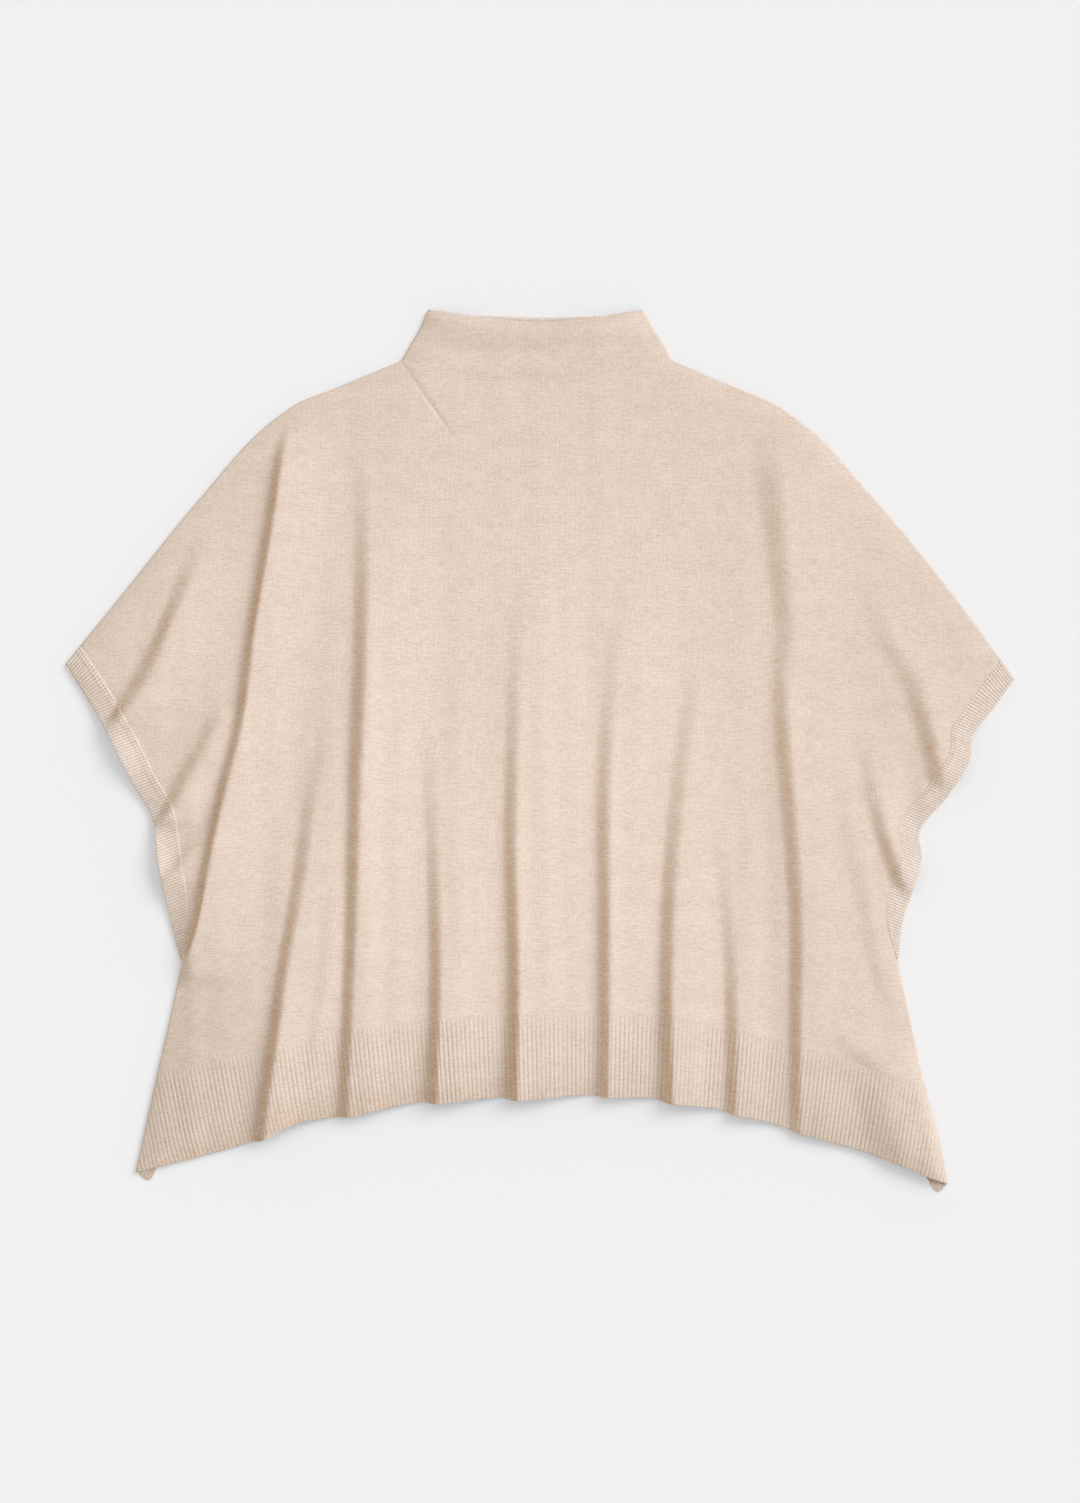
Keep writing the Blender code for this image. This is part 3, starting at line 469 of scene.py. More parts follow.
def unit(ways):
    """The same directions, each with a length of 1."""
    return ways / np.linalg.norm(ways, axis=-1, keepdims=True)


def ease(t):
    """A smooth step from 0 to 1."""
    t = np.clip(t, 0.0, 1.0)
    return t * t * (3.0 - 2.0 * t)


def bell(distance, width):
    """1 in the middle, falling away smoothly on both sides of it."""
    return np.exp(-(distance / width) ** 2)


def height_on(line, x):
    """The y of a line that runs across, at x."""
    return np.interp(x, line[:, 0], line[:, 1])


def rising(line):
    """The same line with its places in order of rising y."""
    return line[np.argsort(line[:, 1])]


def beside(line, x, y):
    """How far towards +X of a rising line each place lies, measured square to the line."""
    lean = np.gradient(line[:, 0], line[:, 1])
    slant = np.sqrt(1.0 + np.interp(y, line[:, 1], lean) ** 2)
    return (x - np.interp(y, line[:, 1], line[:, 0])) / slant


def outline(side):
    """One side of the garment, from the hem's corner up to the collar's."""
    return rising(np.concatenate((smooth(COLLAR_SIDE[side])[:0:-1], smooth(SHOULDER[side]),
                                  smooth(ARMHOLE[side])[1:], smooth(SIDE[side])[1:])))


OUTLINE = {side: outline(side) for side in SIDES}
HEM_LINE = smooth(FRONT_HEM)


def edge_distance(x, y):
    """How far a place lies inside the outline, measured square to the nearest side."""
    inside = np.where(x < 0, beside(OUTLINE["right"], x, y), -beside(OUTLINE["left"], x, y))
    return np.maximum(inside, 0.0)


def hem_distance(x, y):
    """How far a place lies above the hem's edge."""
    return np.maximum(y - height_on(HEM_LINE, x), 0.0)


def joined(y):
    """1 where the front and back are joined along the side, 0 at the open armhole."""
    tip = SHOULDER["left"][-1].y
    underarm = SIDE["right"][0].y
    upper = ease((y - tip + ARMHOLE_TOP_FADE) / ARMHOLE_TOP_FADE)
    lower = ease((underarm + ARMHOLE_LOW_FADE - y) / ARMHOLE_LOW_FADE)
    return np.maximum(upper, lower)


def fold_lift(fold, x, y):
    """How far one fold lifts the cloth at each place.  Below its path the fold runs straight on."""
    line = rising(smooth(fold.path, spacing=6.0))
    foot, top = line[0, 1], line[-1, 1]
    lean = (line[1, 0] - line[0, 0]) / (line[1, 1] - line[0, 1])
    across = beside(line, x - lean * np.minimum(y - foot, 0.0), y)
    share = (top - y) / (top - foot)
    size = np.sin(np.clip(share / fold.rise, 0.0, 1.0) * math.pi / 2)
    size = size * (1.0 - ease((foot - y) / fold.fade))
    flank = fold.flank * (TOP_FLANK + (LOW_FLANK - TOP_FLANK) * np.clip(share, 0.0, 1.0))
    climb = ease(np.clip(across / flank + 0.5, 0.0, 1.0) ** fold.skew)
    down = np.clip((across - flank / 2) / fold.run, 0.0, 1.0)
    return fold.height * size * climb * (1 - down) ** 2 * (1 + down)


def loft_value(what, x, y):
    """One column of the loft tables, read at y and changing over from right to left."""
    right, left = (np.interp(y, [row.y for row in LOFTS[side]],
                             [getattr(row, what) for row in LOFTS[side]]) for side in SIDES)
    to_left = ease(0.5 + x / (2 * LOFT_CHANGE))
    return (1.0 - to_left) * right + to_left * left


def loft(x, y):
    """The soft air under the front, none where it meets its edges."""
    inside = np.minimum(edge_distance(x, y) / loft_value("run", x, y), hem_distance(x, y) / HEM_RUN)
    return loft_value("height", x, y) * (1.0 - (1.0 - np.clip(inside, 0.0, 1.0)) ** 2)


def pucker_lift(pucker, x, y):
    """How far a ridge lifts the cloth at each place, or a hollow sinks it."""
    turn = math.radians(pucker.turn)
    along_it = (x - pucker.x) * math.cos(turn) + (y - pucker.y) * math.sin(turn)
    across_it = (y - pucker.y) * math.cos(turn) - (x - pucker.x) * math.sin(turn)
    return pucker.height * bell(along_it, pucker.length) * bell(across_it, pucker.width)


def ripples(x, y, height):
    """Small uneven waves: broad ones everywhere, and narrow upright ones lower down."""
    dice = np.random.default_rng(RIPPLE_SEED)
    broad, narrow = np.zeros(np.shape(x)), np.zeros(np.shape(x))
    for _ in range(WAVES):
        across = dice.uniform(*BROAD_ACROSS) * dice.choice((-1, 1))
        down, phase = dice.uniform(*BROAD_DOWN), dice.uniform(0, 2 * math.pi)
        broad += np.sin(across * x + down * y + phase) / (1.0 + BROAD_CALM * abs(across))
        across, phase = dice.uniform(*NARROW_ACROSS), dice.uniform(0, 2 * math.pi)
        narrow += np.sin(across * x + NARROW_LEAN * down * y + phase)
    lower = NARROW_LEAST + (1.0 - NARROW_LEAST) * ease((NARROW_TOP - y) / NARROW_RUN)
    return height * (BROAD_SHARE * broad + NARROW_SHARE * lower * narrow) / math.sqrt(WAVES)


def neck_hollow(x, y):
    """1 along the middle of the hollow at the collar's base, and 0 away from it."""
    return bell(y - height_on(smooth(COLLAR_BASE), x) + HOLLOW_DROP, HOLLOW_WIDTH)


def neck_crease(x, y):
    """How far the hollow sinks the cloth."""
    return -HOLLOW_DEPTH * (1.0 - ease(np.abs(x) / HOLLOW_REACH)) * neck_hollow(x, y)


def neck_shade(x, y):
    """How much painted shade the cloth takes in the hollow."""
    return HOLLOW_SHADE * ease((SHADE_REACH - np.abs(x)) / SHADE_FADE) * neck_hollow(x, y)


def fashioned_lines(x, y):
    """Depth of the fashioned lines' fine steps, and how much there is of their raised loops."""
    step, loop = np.zeros(np.shape(x)), np.zeros(np.shape(x))
    for fashioned in FASHIONED:
        line = rising(smooth(fashioned.path, spacing=3.0))
        across = beside(line, x, y)
        foot, top = line[0, 1], line[-1, 1] + FASHIONED_TOP / 2
        within = fashioned.depth * ease((y - foot) / FASHIONED_FOOT) * ease((top - y) / FASHIONED_TOP)
        step += within * bell(across - STEP[0], STEP[1])
        loop += within * bell(across - LOOP[0], LOOP[1])
    return step, loop


def lift(x, y, ripple=0.0):
    """Height of the front layer's inside above where it would lie flat on the back layer."""
    folds = sum(fold_lift(fold, x, y) for fold in BODY_FOLDS + SLEEVE_FOLDS)
    puckers = sum(pucker_lift(pucker, x, y) for pucker in PUCKERS)
    strip = np.where(x < 0, HELD_EDGE["right"], HELD_EDGE["left"])
    held = joined(y) * (1.0 - np.clip(edge_distance(x, y) / strip, 0.0, 1.0)) ** 2
    fine = ripples(x, y, ripple) + neck_crease(x, y)
    return loft(x, y) + (1.0 - held) * (folds + puckers + fine)


# ---------------------------------------------------------------- plans of the pieces

def crowded(width, inner, at_start=0):
    """Shares from 0 to 1 across a width.  They crowd at its far edge, and at its start as many
    of EDGE_STEPS as `at_start` says, with `inner` even ones between."""
    near = EDGE_STEPS / width
    return np.concatenate((near[:at_start], np.linspace(near[at_start], 1 - near[-1], inner),
                           1 - near[-2::-1]))


def between(start, end, shares):
    """Places on the straight line from one place to another."""
    return start + (end - start) * shares[:, None]


def ruled_plan(right, left, first, last, across, downs, hold=1):
    """Rows of places between two side lines.  The first row bends to the line `first` and the
    last to `last`; the higher `hold` is, the sooner the bends die away between them."""
    plan = []
    for start, end, shares, down in zip(right, left, across, downs):
        row = between(start, end, shares)
        for corner, line, weight in ((0, first, 1 - down), (-1, last, down)):
            straight = between(right[corner], left[corner], shares)
            row[:, 1] += weight ** hold * (height_on(line, straight[:, 0]) - straight[:, 1])
        plan.append(row)
    return np.array(plan)


def armhole_seam(side, shares):
    """The seam between body and trim: the free edge moved in by the trim's width."""
    armhole, shoulder = smooth(ARMHOLE[side]), smooth(SHOULDER[side])
    edge = along(armhole, shares)
    to_neck = unit(shoulder[-TIP_PLACES] - shoulder[-1])
    run = armhole[-1] - armhole[0]
    inward = unit(np.array([-run[1], run[0]]))
    inward *= -np.sign(inward[0]) * np.sign(edge[0][0])
    width = TRIM_WIDTH * np.sin(np.clip((1 - shares) / TRIM_TAPER, 0, 1) * math.pi / 2)
    turn = ease(shares / TIP_TURN)[:, None]
    return edge + unit((1 - turn) * to_neck + turn * inward) * width[:, None]


def side_edge(side):
    """The side from the underarm to the rib top, and from there to the hem's corner."""
    seam = smooth(SIDE[side])
    rib_top = next(mark for mark in SIDE[side] if mark.place == "rib top")
    split = np.argmin(np.linalg.norm(seam - (rib_top.x, rib_top.y), axis=1))
    return seam[:split + 1], seam[split:]


def body_edge(side):
    """The body's edge from the neck to the rib top, one place for each row."""
    seam = armhole_seam(side, np.linspace(0.0, 1.0, BODY_ROWS["armhole"]))
    shoulder = smooth(SHOULDER[side])
    kept = 1 - np.linalg.norm(seam[0] - shoulder[-1]) / travelled(shoulder)[-1]
    upper = along(shoulder, np.linspace(0.0, kept, BODY_ROWS["shoulder"] + 1)[:-1])
    lower = along(side_edge(side)[0], np.linspace(0.0, 1.0, BODY_ROWS["side"] + 1)[1:])
    return np.concatenate((upper, seam, lower))


def body_plan():
    """Places of a body panel, row by row from the neck to the rib top."""
    right, left = body_edge("right"), body_edge("left")
    across = [crowded(width, BODY_COLUMNS, BESIDE_EDGE)
              for width in np.linalg.norm(left - right, axis=1)]
    downs = np.arange(len(right)) / (len(right) - 1)
    return ruled_plan(right, left, smooth(COLLAR_BASE), smooth(RIB_TOP), across, downs, BODY_HOLD)


def collar_plan(top_marks):
    """Places of a collar half from its base to its top edge, and their shares up and across."""
    right, left = smooth(COLLAR_SIDE["right"]), smooth(COLLAR_SIDE["left"])
    ups = crowded(np.linalg.norm(right[-1] - right[0]), COLLAR_ROWS)
    across = crowded(left[0][0] - right[0][0], COLLAR_COLUMNS, BESIDE_EDGE)
    plan = ruled_plan(along(right, ups), along(left, ups), smooth(COLLAR_BASE), smooth(top_marks),
                      [across] * len(ups), ups)
    return plan, ups, across


def hem_plan(edge_marks, ribs, downs, dip):
    """Places of a hem band.  Each column is a rib line: the outer ones start on the side edge."""
    columns, turned = ribs * POINTS_PER_RIB, SIDE_RIBS * POINTS_PER_RIB
    edge = along(smooth(edge_marks), np.linspace(0.0, 1.0, columns + 1))
    edge[:, 1] -= dip * lift(edge[:, 0] + HEM_DIP_SHIFT, edge[:, 1])
    top = along(smooth(RIB_TOP), np.linspace(0.0, 1.0, columns - 2 * turned + 1))
    outer = 1.0 - (np.arange(turned) + CORNER_INSET) / (turned + CORNER_INSET)
    right, left = (along(side_edge(side)[1], outer) for side in SIDES)
    starts = np.concatenate((right, top, left[::-1]))
    return starts + (edge - starts) * downs[:, None, None]


def trim_plan(side, columns, outs):
    """Places of an armhole trim, from its seam to its free edge."""
    shares = np.linspace(0.0, TRIM_END, columns + 1)
    seam, edge = armhole_seam(side, shares), along(smooth(ARMHOLE[side]), shares)
    return seam + (edge - seam) * outs[:, None, None]


# ---------------------------------------------------------------- walls

def closing(distance, radius):
    """Share by which the two faces of a wall close up beside a rounded edge: none away from it,
    and at its tip all but a slit, along a quarter circle."""
    t = 1.0 - np.clip(distance / radius, 0.0, 1.0)
    return (1.0 - np.sqrt(1.0 - t * t)) * (1.0 - EDGE_SLIT)


def quads(at):
    """The four-sided faces of a grid of vertex numbers."""
    return np.stack((at[:-1, :-1], at[1:, :-1], at[1:, 1:], at[:-1, 1:]), axis=-1).reshape(-1, 4)


class Wall:
    """A closed knitted wall in the making: two faces, `under` and `over`, above one plan, with
    the places on the cloth itself in `cloth`, and `masks` as MASKS names them."""

    def __init__(self, layer, plan, thickness, sizes, raised=0.0):
        """A back wall lies flat.  A front one is the folded cloth, and the same moved out."""
        self.layer, self.plan, self.cloth, self.masks = layer, plan, plan, {}
        self.x, self.y = x, y = plan[..., 0], plan[..., 1]
        if layer == "back":
            self.under, self.over = np.zeros(x.shape), np.full(x.shape, thickness)
            return
        self.under = sizes.wall / MM + PARTING + lift(x, y, sizes.ripple / MM) + raised
        slope_x = (lift(x + SLOPE_REACH, y) - lift(x - SLOPE_REACH, y)) / (2 * SLOPE_REACH)
        slope_y = (lift(x, y + SLOPE_REACH) - lift(x, y - SLOPE_REACH)) / (2 * SLOPE_REACH)
        slope = np.hypot(slope_x, slope_y)
        step, loop = fashioned_lines(x, y)
        self.over = self.under + thickness * np.sqrt(1.0 + slope ** 2) - step + LOOP_RISE * loop
        # The steepness brings painted shade: on steep cloth such as a fold's flank, none along the
        # sides, and along the fashioned lines' steps.
        self.masks["steepness"] = slope * ease(edge_distance(x, y) / UNSHADED_STRIP) + step

    def map_over_folds(self):
        """Places on plain cloth: across it measured over the folds, and down it."""
        run = travelled(np.dstack((self.plan, self.over)), axis=1)
        middle = [self.plan.shape[1] // 2]
        self.cloth = np.dstack((run - run[:, middle] + self.x[:, middle], self.y))

    def map_along_ribs(self, from_edge):
        """Places on ribbing: two wales for each rib across, and length along the ribs, from the
        free edge or from the seam."""
        run = travelled(np.dstack((self.plan, self.over)))
        across = np.arange(self.plan.shape[1]) * RIB_PITCH / POINTS_PER_RIB
        down = run[-1] - run if from_edge else run
        self.cloth = np.dstack((np.broadcast_to(across, run.shape), down))

    def from_free_edge(self, shares):
        """How far each place lies from the free edge, which is the plan's last row."""
        return (1 - shares)[:, None] * np.linalg.norm(self.plan[-1] - self.plan[0], axis=1)

    def round_free_edge(self, shares, radius):
        """Brings the two faces together along the free edge."""
        middle = (self.under + self.over) / 2
        close = closing(self.from_free_edge(shares), radius)
        self.under = self.under + (middle - self.under) * close
        self.over = self.over + (middle - self.over) * close

    def round_joined_edge(self):
        """Turns the outer face in towards the other layer where the layers are joined."""
        close = closing(edge_distance(self.x, self.y), JOINED_RADIUS) * joined(self.y)
        if self.layer == "front":
            self.over = self.over + (self.under - self.over) * close
        else:
            self.under = self.under + (self.over - self.under) * close

    def area(self):
        """Area of the under face in square metres."""
        at = np.dstack((self.plan, self.under)) * MM
        first = np.cross(at[1:, :-1] - at[:-1, :-1], at[:-1, 1:] - at[:-1, :-1])
        second = np.cross(at[:-1, 1:] - at[1:, 1:], at[1:, :-1] - at[1:, 1:])
        return (np.linalg.norm(first, axis=2).sum() + np.linalg.norm(second, axis=2).sum()) / 2

    def faces(self, over_at, under_at, kept):
        """Both faces and the four edges between them, as lists of vertex numbers."""
        faces = quads(over_at).tolist() + quads(under_at)[:, ::-1].tolist()
        for row, turn in ((0, 1), (-1, -1)):
            for index in range(len(kept) - 1):
                near, far = under_at[row, index:index + 2]
                strip = over_at[row, kept[index]:kept[index + 1] + 1]
                faces.append([near, *strip, far][::turn])
        for column, turn in ((0, -1), (-1, 1)):
            for row in range(len(over_at) - 1):
                faces.append([under_at[row, column], under_at[row + 1, column],
                              over_at[row + 1, column], over_at[row, column]][::turn])
        down, across = self.plan[1, 0] - self.plan[0, 0], self.plan[1, 1] - self.plan[1, 0]
        mirrored = down[0] * across[1] < down[1] * across[0]
        return [face[::-1] for face in faces] if mirrored else faces

    def mesh(self, name, material, coarse):
        """The wall as a mesh.  `coarse` thins the columns of the under face."""
        rows, columns = self.over.shape
        kept = np.arange(0, columns, coarse)

        def stacked(over, under, size):
            """Values of the over face's places, and then of those that the under face keeps."""
            return np.concatenate((over.reshape(-1, size), under[:, kept].reshape(-1, size)))

        over_at = np.arange(rows * columns).reshape(rows, columns)
        under_at = rows * columns + np.arange(rows * len(kept)).reshape(rows, len(kept))
        places = stacked(np.dstack((self.plan, self.over)), np.dstack((self.plan, self.under)), 3)
        mesh = bpy.data.meshes.new(name)
        mesh.from_pydata(places * MM, [], self.faces(over_at, under_at, kept))
        mesh.validate()
        corners = np.empty(len(mesh.loops), dtype=np.int32)
        mesh.loops.foreach_get("vertex_index", corners)
        spots = stacked(self.cloth, self.cloth, 2)[corners].astype(np.float32)
        mesh.uv_layers.new(name=CLOTH_MAP).data.foreach_set("uv", spots.ravel())
        for key, mask in self.masks.items():
            mask = np.broadcast_to(mask, self.over.shape)
            values = stacked(mask, mask, 1).astype(np.float32)
            mesh.attributes.new(key, "FLOAT", "POINT").data.foreach_set("value", values.ravel())
        mesh.shade_smooth()
        mesh.set_sharp_from_angle(angle=SHARP_EDGE)
        mesh.materials.append(material)
        return mesh


def placed(scene, name, data, location=(0.0, 0.0, 0.0), turn=(0.0, 0.0, 0.0)):
    """A new object in the scene."""
    thing = bpy.data.objects.new(name, data)
    thing.location, thing.rotation_euler = location, turn
    scene.collection.objects.link(thing)
    return thing


def lay(context, wall, node, blank, coarse=1):
    """Lays a piece on the part in place of a solid, in the material of its blank's finish."""
    name = node + "_knit"
    material = knit_material(context, blank.finish)
    piece = placed(context.scene, name, wall.mesh(name, material, coarse))
    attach(piece, BODY)
    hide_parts(node)
    wall.area()


# ---------------------------------------------------------------- yarn and stitches

class Wire:
    """What a node puts out.  A sum with it adds a math node, so that a formula reads as one."""

    def __init__(self, bench, socket):
        self.bench, self.socket = bench, socket

    def __add__(self, other):
        return self.bench.math("ADD", self, other)

    def __sub__(self, other):
        return self.bench.math("SUBTRACT", self, other)

    def __rsub__(self, other):
        return self.bench.math("SUBTRACT", other, self)

    def __mul__(self, other):
        return self.bench.math("MULTIPLY", self, other)

    def __truediv__(self, other):
        return self.bench.math("DIVIDE", self, other)


class NodeBench:
    """Adds nodes to a tree with short calls."""

    def __init__(self, tree):
        self.tree = tree

    def plug(self, socket, source):
        """Feeds one input, from a wire or with a plain value."""
        if isinstance(source, Wire):
            self.tree.links.new(source.socket, socket)
        else:
            socket.default_value = source

    def feed(self, node, **sources):
        """Feeds inputs of a node by their names, with _ for a space."""
        for key, source in sources.items():
            self.plug(node.inputs[key.replace("_", " ")], source)

    def node(self, kind, *sources, **settings):
        """A new node, with its first inputs fed in order."""
        node = self.tree.nodes.new(kind)
        for key, value in settings.items():
            setattr(node, key, value)
        for socket, source in zip(node.inputs, sources):
            self.plug(socket, source)
        return node

    def out(self, node, key=0):
        """One of the things that a node puts out, by its name or number."""
        return Wire(self, node.outputs[key])

    def mask(self, name):
        """A point attribute of the mesh."""
        return self.out(self.node("ShaderNodeAttribute", attribute_name=name), "Fac")

    def math(self, operation, *sources):
        return self.out(self.node("ShaderNodeMath", *sources, operation=operation))

    def stretch(self, source, low, high, to_low=0.0, to_high=1.0, easing="SMOOTHSTEP"):
        """A value moved from one range to another, and kept inside it."""
        return self.out(self.node("ShaderNodeMapRange", source, low, high, to_low, to_high,
                                  interpolation_type=easing))

    def mix(self, factor, first, second, blend="MIX"):
        """Two colours mixed.  The node keeps its colours in its seventh and eighth inputs."""
        node = self.node("ShaderNodeMix", factor, data_type="RGBA", blend_type=blend)
        self.plug(node.inputs[6], first)
        self.plug(node.inputs[7], second)
        return self.out(node, 2)

    def noise(self, cloth, grain):
        """The noise of a grain on the cloth."""
        place = self.node("ShaderNodeVectorMath", cloth, (grain.across, grain.down, 1.0),
                          operation="MULTIPLY")
        node = self.node("ShaderNodeTexNoise")
        self.feed(node, Vector=self.out(place), Scale=1.0, Detail=grain.detail,
                  Roughness=grain.roughness)
        return self.out(node, "Fac")

    def bump(self, height, relief, **normal):
        """The normal of a relief, over another normal if one is given."""
        node = self.node("ShaderNodeBump")
        self.feed(node, Strength=relief.strength, Distance=relief.depth * MM, Height=height, **normal)
        return self.out(node, "Normal")


def new_group(name, inputs, outputs):
    """A bench on a new node group, what the group is given by name, and its output node."""
    group = bpy.data.node_groups.new(name, "ShaderNodeTree")
    for direction, sockets in (("INPUT", inputs), ("OUTPUT", outputs)):
        for key, kind in sockets.items():
            group.interface.new_socket(key, in_out=direction, socket_type="NodeSocket" + kind)
    bench = NodeBench(group)
    entry, result = bench.node("NodeGroupInput"), bench.node("NodeGroupOutput")
    return bench, {key: bench.out(entry, key) for key in inputs}, result


def heathered_yarn(name):
    """Heathered yarn: flecks drawn out along the courses, over broader cloudy patches."""
    bench, given, result = new_group(name, {"Cloth": "Vector", "Pale": "Color", "Deep": "Color"},
                                     {"Color": "Color", "Fleck": "Float"})
    flecks, hairs, clouds = (bench.noise(given["Cloth"], grain) * grain.weight for grain in HEATHER)
    mask = bench.stretch(flecks + hairs + clouds, *HEATHER_RANGE, easing="LINEAR")
    bench.feed(result, Color=bench.mix(mask, given["Deep"], given["Pale"]), Fleck=mask)
    return bench.tree


def knit_stitches(name):
    """Plain knit: columns of V-shaped stitches, as a height and a mask of the furrows."""
    bench, given, result = new_group(
        name, {"Cloth": "Vector", "Wale": "Float", "Course": "Float", "Wander": "Float"},
        {"Height": "Float", "Furrow": "Float"})
    split = bench.node("ShaderNodeSeparateXYZ", given["Cloth"])
    stray = bench.noise(given["Cloth"], STRAY) * given["Wander"]
    across = bench.out(split, "X") / given["Wale"] + stray + 0.5
    from_middle = bench.math("ABSOLUTE", bench.math("FRACT", across) - 0.5)
    # A wale has two legs, each a quarter of its width out from its middle.
    leg = 1.0 - bench.math("ABSOLUTE", from_middle - 0.25) * 4.0
    leg = bench.math("SQRT", bench.math("MAXIMUM", leg, 0.0))
    climb = bench.out(split, "Y") / given["Course"] + from_middle * LEG_CLIMB
    beat = bench.math("SINE", climb * (2 * math.pi))
    bench.feed(result, Height=leg * (beat * LEG_BEAT + (1.0 - LEG_BEAT)), Furrow=1.0 - leg)
    return bench.tree


def brushed_nap(name):
    """The short raised hair of a brushed knit, as a fine uneven height."""
    bench, given, result = new_group(name, {"Cloth": "Vector"}, {"Height": "Float"})
    bench.feed(result, Height=bench.noise(given["Cloth"], TUFTS) + bench.noise(given["Cloth"], LIE))
    return bench.tree


def knit_tint_and_painted_light(name):
    """Painted shade and painted highlight in the yarn's colour: a warmer, deeper painted shade on
    cloth that stands steeply, as on the flank of a fold, and in the furrows of ribbing, and a
    painted highlight on loops that stand out."""
    masks = {key.capitalize(): "Float" for key in MASKS}
    bench, given, result = new_group(name, {"Color": "Color", **masks}, {"Color": "Color"})
    colour = given["Color"]
    for tint in TINTS:
        share = bench.stretch(given[tint.mask.capitalize()], tint.low, tint.high)
        tinted = bench.mix(1.0, colour, (*tint.colour, 1.0), "MULTIPLY")
        colour = bench.mix(share, colour, tinted)
    bench.feed(result, Color=colour)
    return bench.tree


GROUPS = {"Heathered yarn": heathered_yarn, "Knit stitches": knit_stitches,
          "Brushed nap": brushed_nap, "Knit tint and painted light": knit_tint_and_painted_light}


def placed_group(bench, name, **inputs):
    """Places a node group, which is built when first asked for, and gives what it puts out."""
    node = bench.node("ShaderNodeGroup")
    node.node_tree = bpy.data.node_groups.get(name) or GROUPS[name](name)
    bench.feed(node, **inputs)
    return {socket.name: Wire(bench, socket) for socket in node.outputs}


def knit_material(context, finish):
    """Heathered yarn, matt and soft: plain knit, or ribbing with two straight wales to a rib."""
    if finish.material in bpy.data.materials:
        return bpy.data.materials[finish.material]
    sizes, colours = context.scene.sweater_sizes, context.scene.sweater_colours
    wale = RIB_PITCH / 2 if finish is RIBBING else sizes.wale / MM
    pale, deep = ((*np.multiply(colour, finish.paleness), 1.0)
                  for colour in (colours.pale_yarn, colours.deep_yarn))
    material = bpy.data.materials.new(finish.material)
    material.use_nodes = True
    bench = NodeBench(material.node_tree)
    cloth = bench.out(bench.node("ShaderNodeUVMap", uv_map=CLOTH_MAP))
    yarn = placed_group(bench, "Heathered yarn", Cloth=cloth, Pale=pale, Deep=deep)
    stitches = placed_group(bench, "Knit stitches", Cloth=cloth, Wale=wale,
                            Course=sizes.course / MM, Wander=finish.wander)
    nap = placed_group(bench, "Brushed nap", Cloth=cloth)
    # Painted shade between the stitches' legs; then, from the masks, painted shade on steep cloth and
    # in furrows and a painted highlight on crowns, the steep shade stronger at deep flecks.
    shade = 1.0 - stitches["Furrow"] * finish.furrow_shade
    steepness, furrow, crown = (bench.mask(key) for key in MASKS)
    patchy = bench.stretch(yarn["Fleck"], 0.0, 1.0, *STEEP_PAINTED_SHADE, easing="LINEAR")
    tinted = placed_group(bench, "Knit tint and painted light", Steepness=steepness * patchy, Furrow=furrow,
                          Crown=crown, Color=bench.mix(1.0, yarn["Color"], shade, "MULTIPLY"))
    normal = bench.bump(stitches["Height"], STITCH_RELIEF)
    normal = bench.bump(nap["Height"], NAP_RELIEF, Normal=normal)
    bench.feed(material.node_tree.nodes["Principled BSDF"], **WOOL, Base_Color=tinted["Color"],
               Roughness=bench.stretch(yarn["Fleck"], 0.0, 1.0, *ROUGHNESS), Normal=normal)
    return material


# ---------------------------------------------------------------- forms of the ribbing and the lip

def uneven(columns, patches, span, seed):
    """An amount for each column that changes slowly within a span."""
    amounts = np.random.default_rng(seed).uniform(*span, patches)
    return np.interp(np.linspace(0, patches - 1, columns), np.arange(patches), amounts)


def rib_profile(columns):
    """Height of a rib at each column, 0 in the furrow and 1 on its broad rounded crest."""
    phase = (np.arange(columns) % POINTS_PER_RIB) / POINTS_PER_RIB
    return np.abs(np.cos(np.pi * phase)) ** RIB_ROUNDNESS


def linking_rows(distances, columns, seed):
    """The stitches that link a trim to its sleeve, 1 on the crown of each, in two rows."""
    rows = sum(row.strength * bell(distances - row.distance, LINKING_WIDTH) for row in LINKING_ROWS)
    steady, swell = LINKING_BEAT
    beat = steady + swell * np.cos(2 * np.pi * np.arange(columns) / POINTS_PER_RIB)
    start, end = LINKING_END
    beat *= 1 - ease((np.linspace(0.0, TRIM_END, columns) - start) / (end - start))
    return rows[:, None] * (beat * uneven(columns, LINKING_PATCHES, LINKING_RANGE, seed))


def collar_roll(ups, across):
    """How far the front collar's lip rolls up: not at its ends, and its edge turns down again."""
    start, end = LIP_RISE
    climb = ease((ups - start) / (end - start)) - LIP_FALL * ease((ups - end) / (1 - end))
    return LIP_HEIGHT * climb[:, None] * (1 - (2 * across - 1) ** 4)


# ---------------------------------------------------------------- floor, light and camera

def make_floor(scene, colour):
    mesh = bpy.data.meshes.new("floor")
    corners = [(x * FLOOR_REACH, y * FLOOR_REACH, FLOOR_LEVEL)
               for x, y in ((-1, -1), (1, -1), (1, 1), (-1, 1))]
    mesh.from_pydata(corners, [], [(0, 1, 2, 3)])
    material = bpy.data.materials.new("pale floor")
    material.use_nodes = True
    NodeBench(material.node_tree).feed(material.node_tree.nodes["Principled BSDF"],
                                       Base_Color=(*colour, 1.0), Roughness=1.0,
                                       Specular_IOR_Level=0.0)
    mesh.materials.append(material)
    floor = placed(scene, "floor", mesh)
    floor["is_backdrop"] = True
    return floor


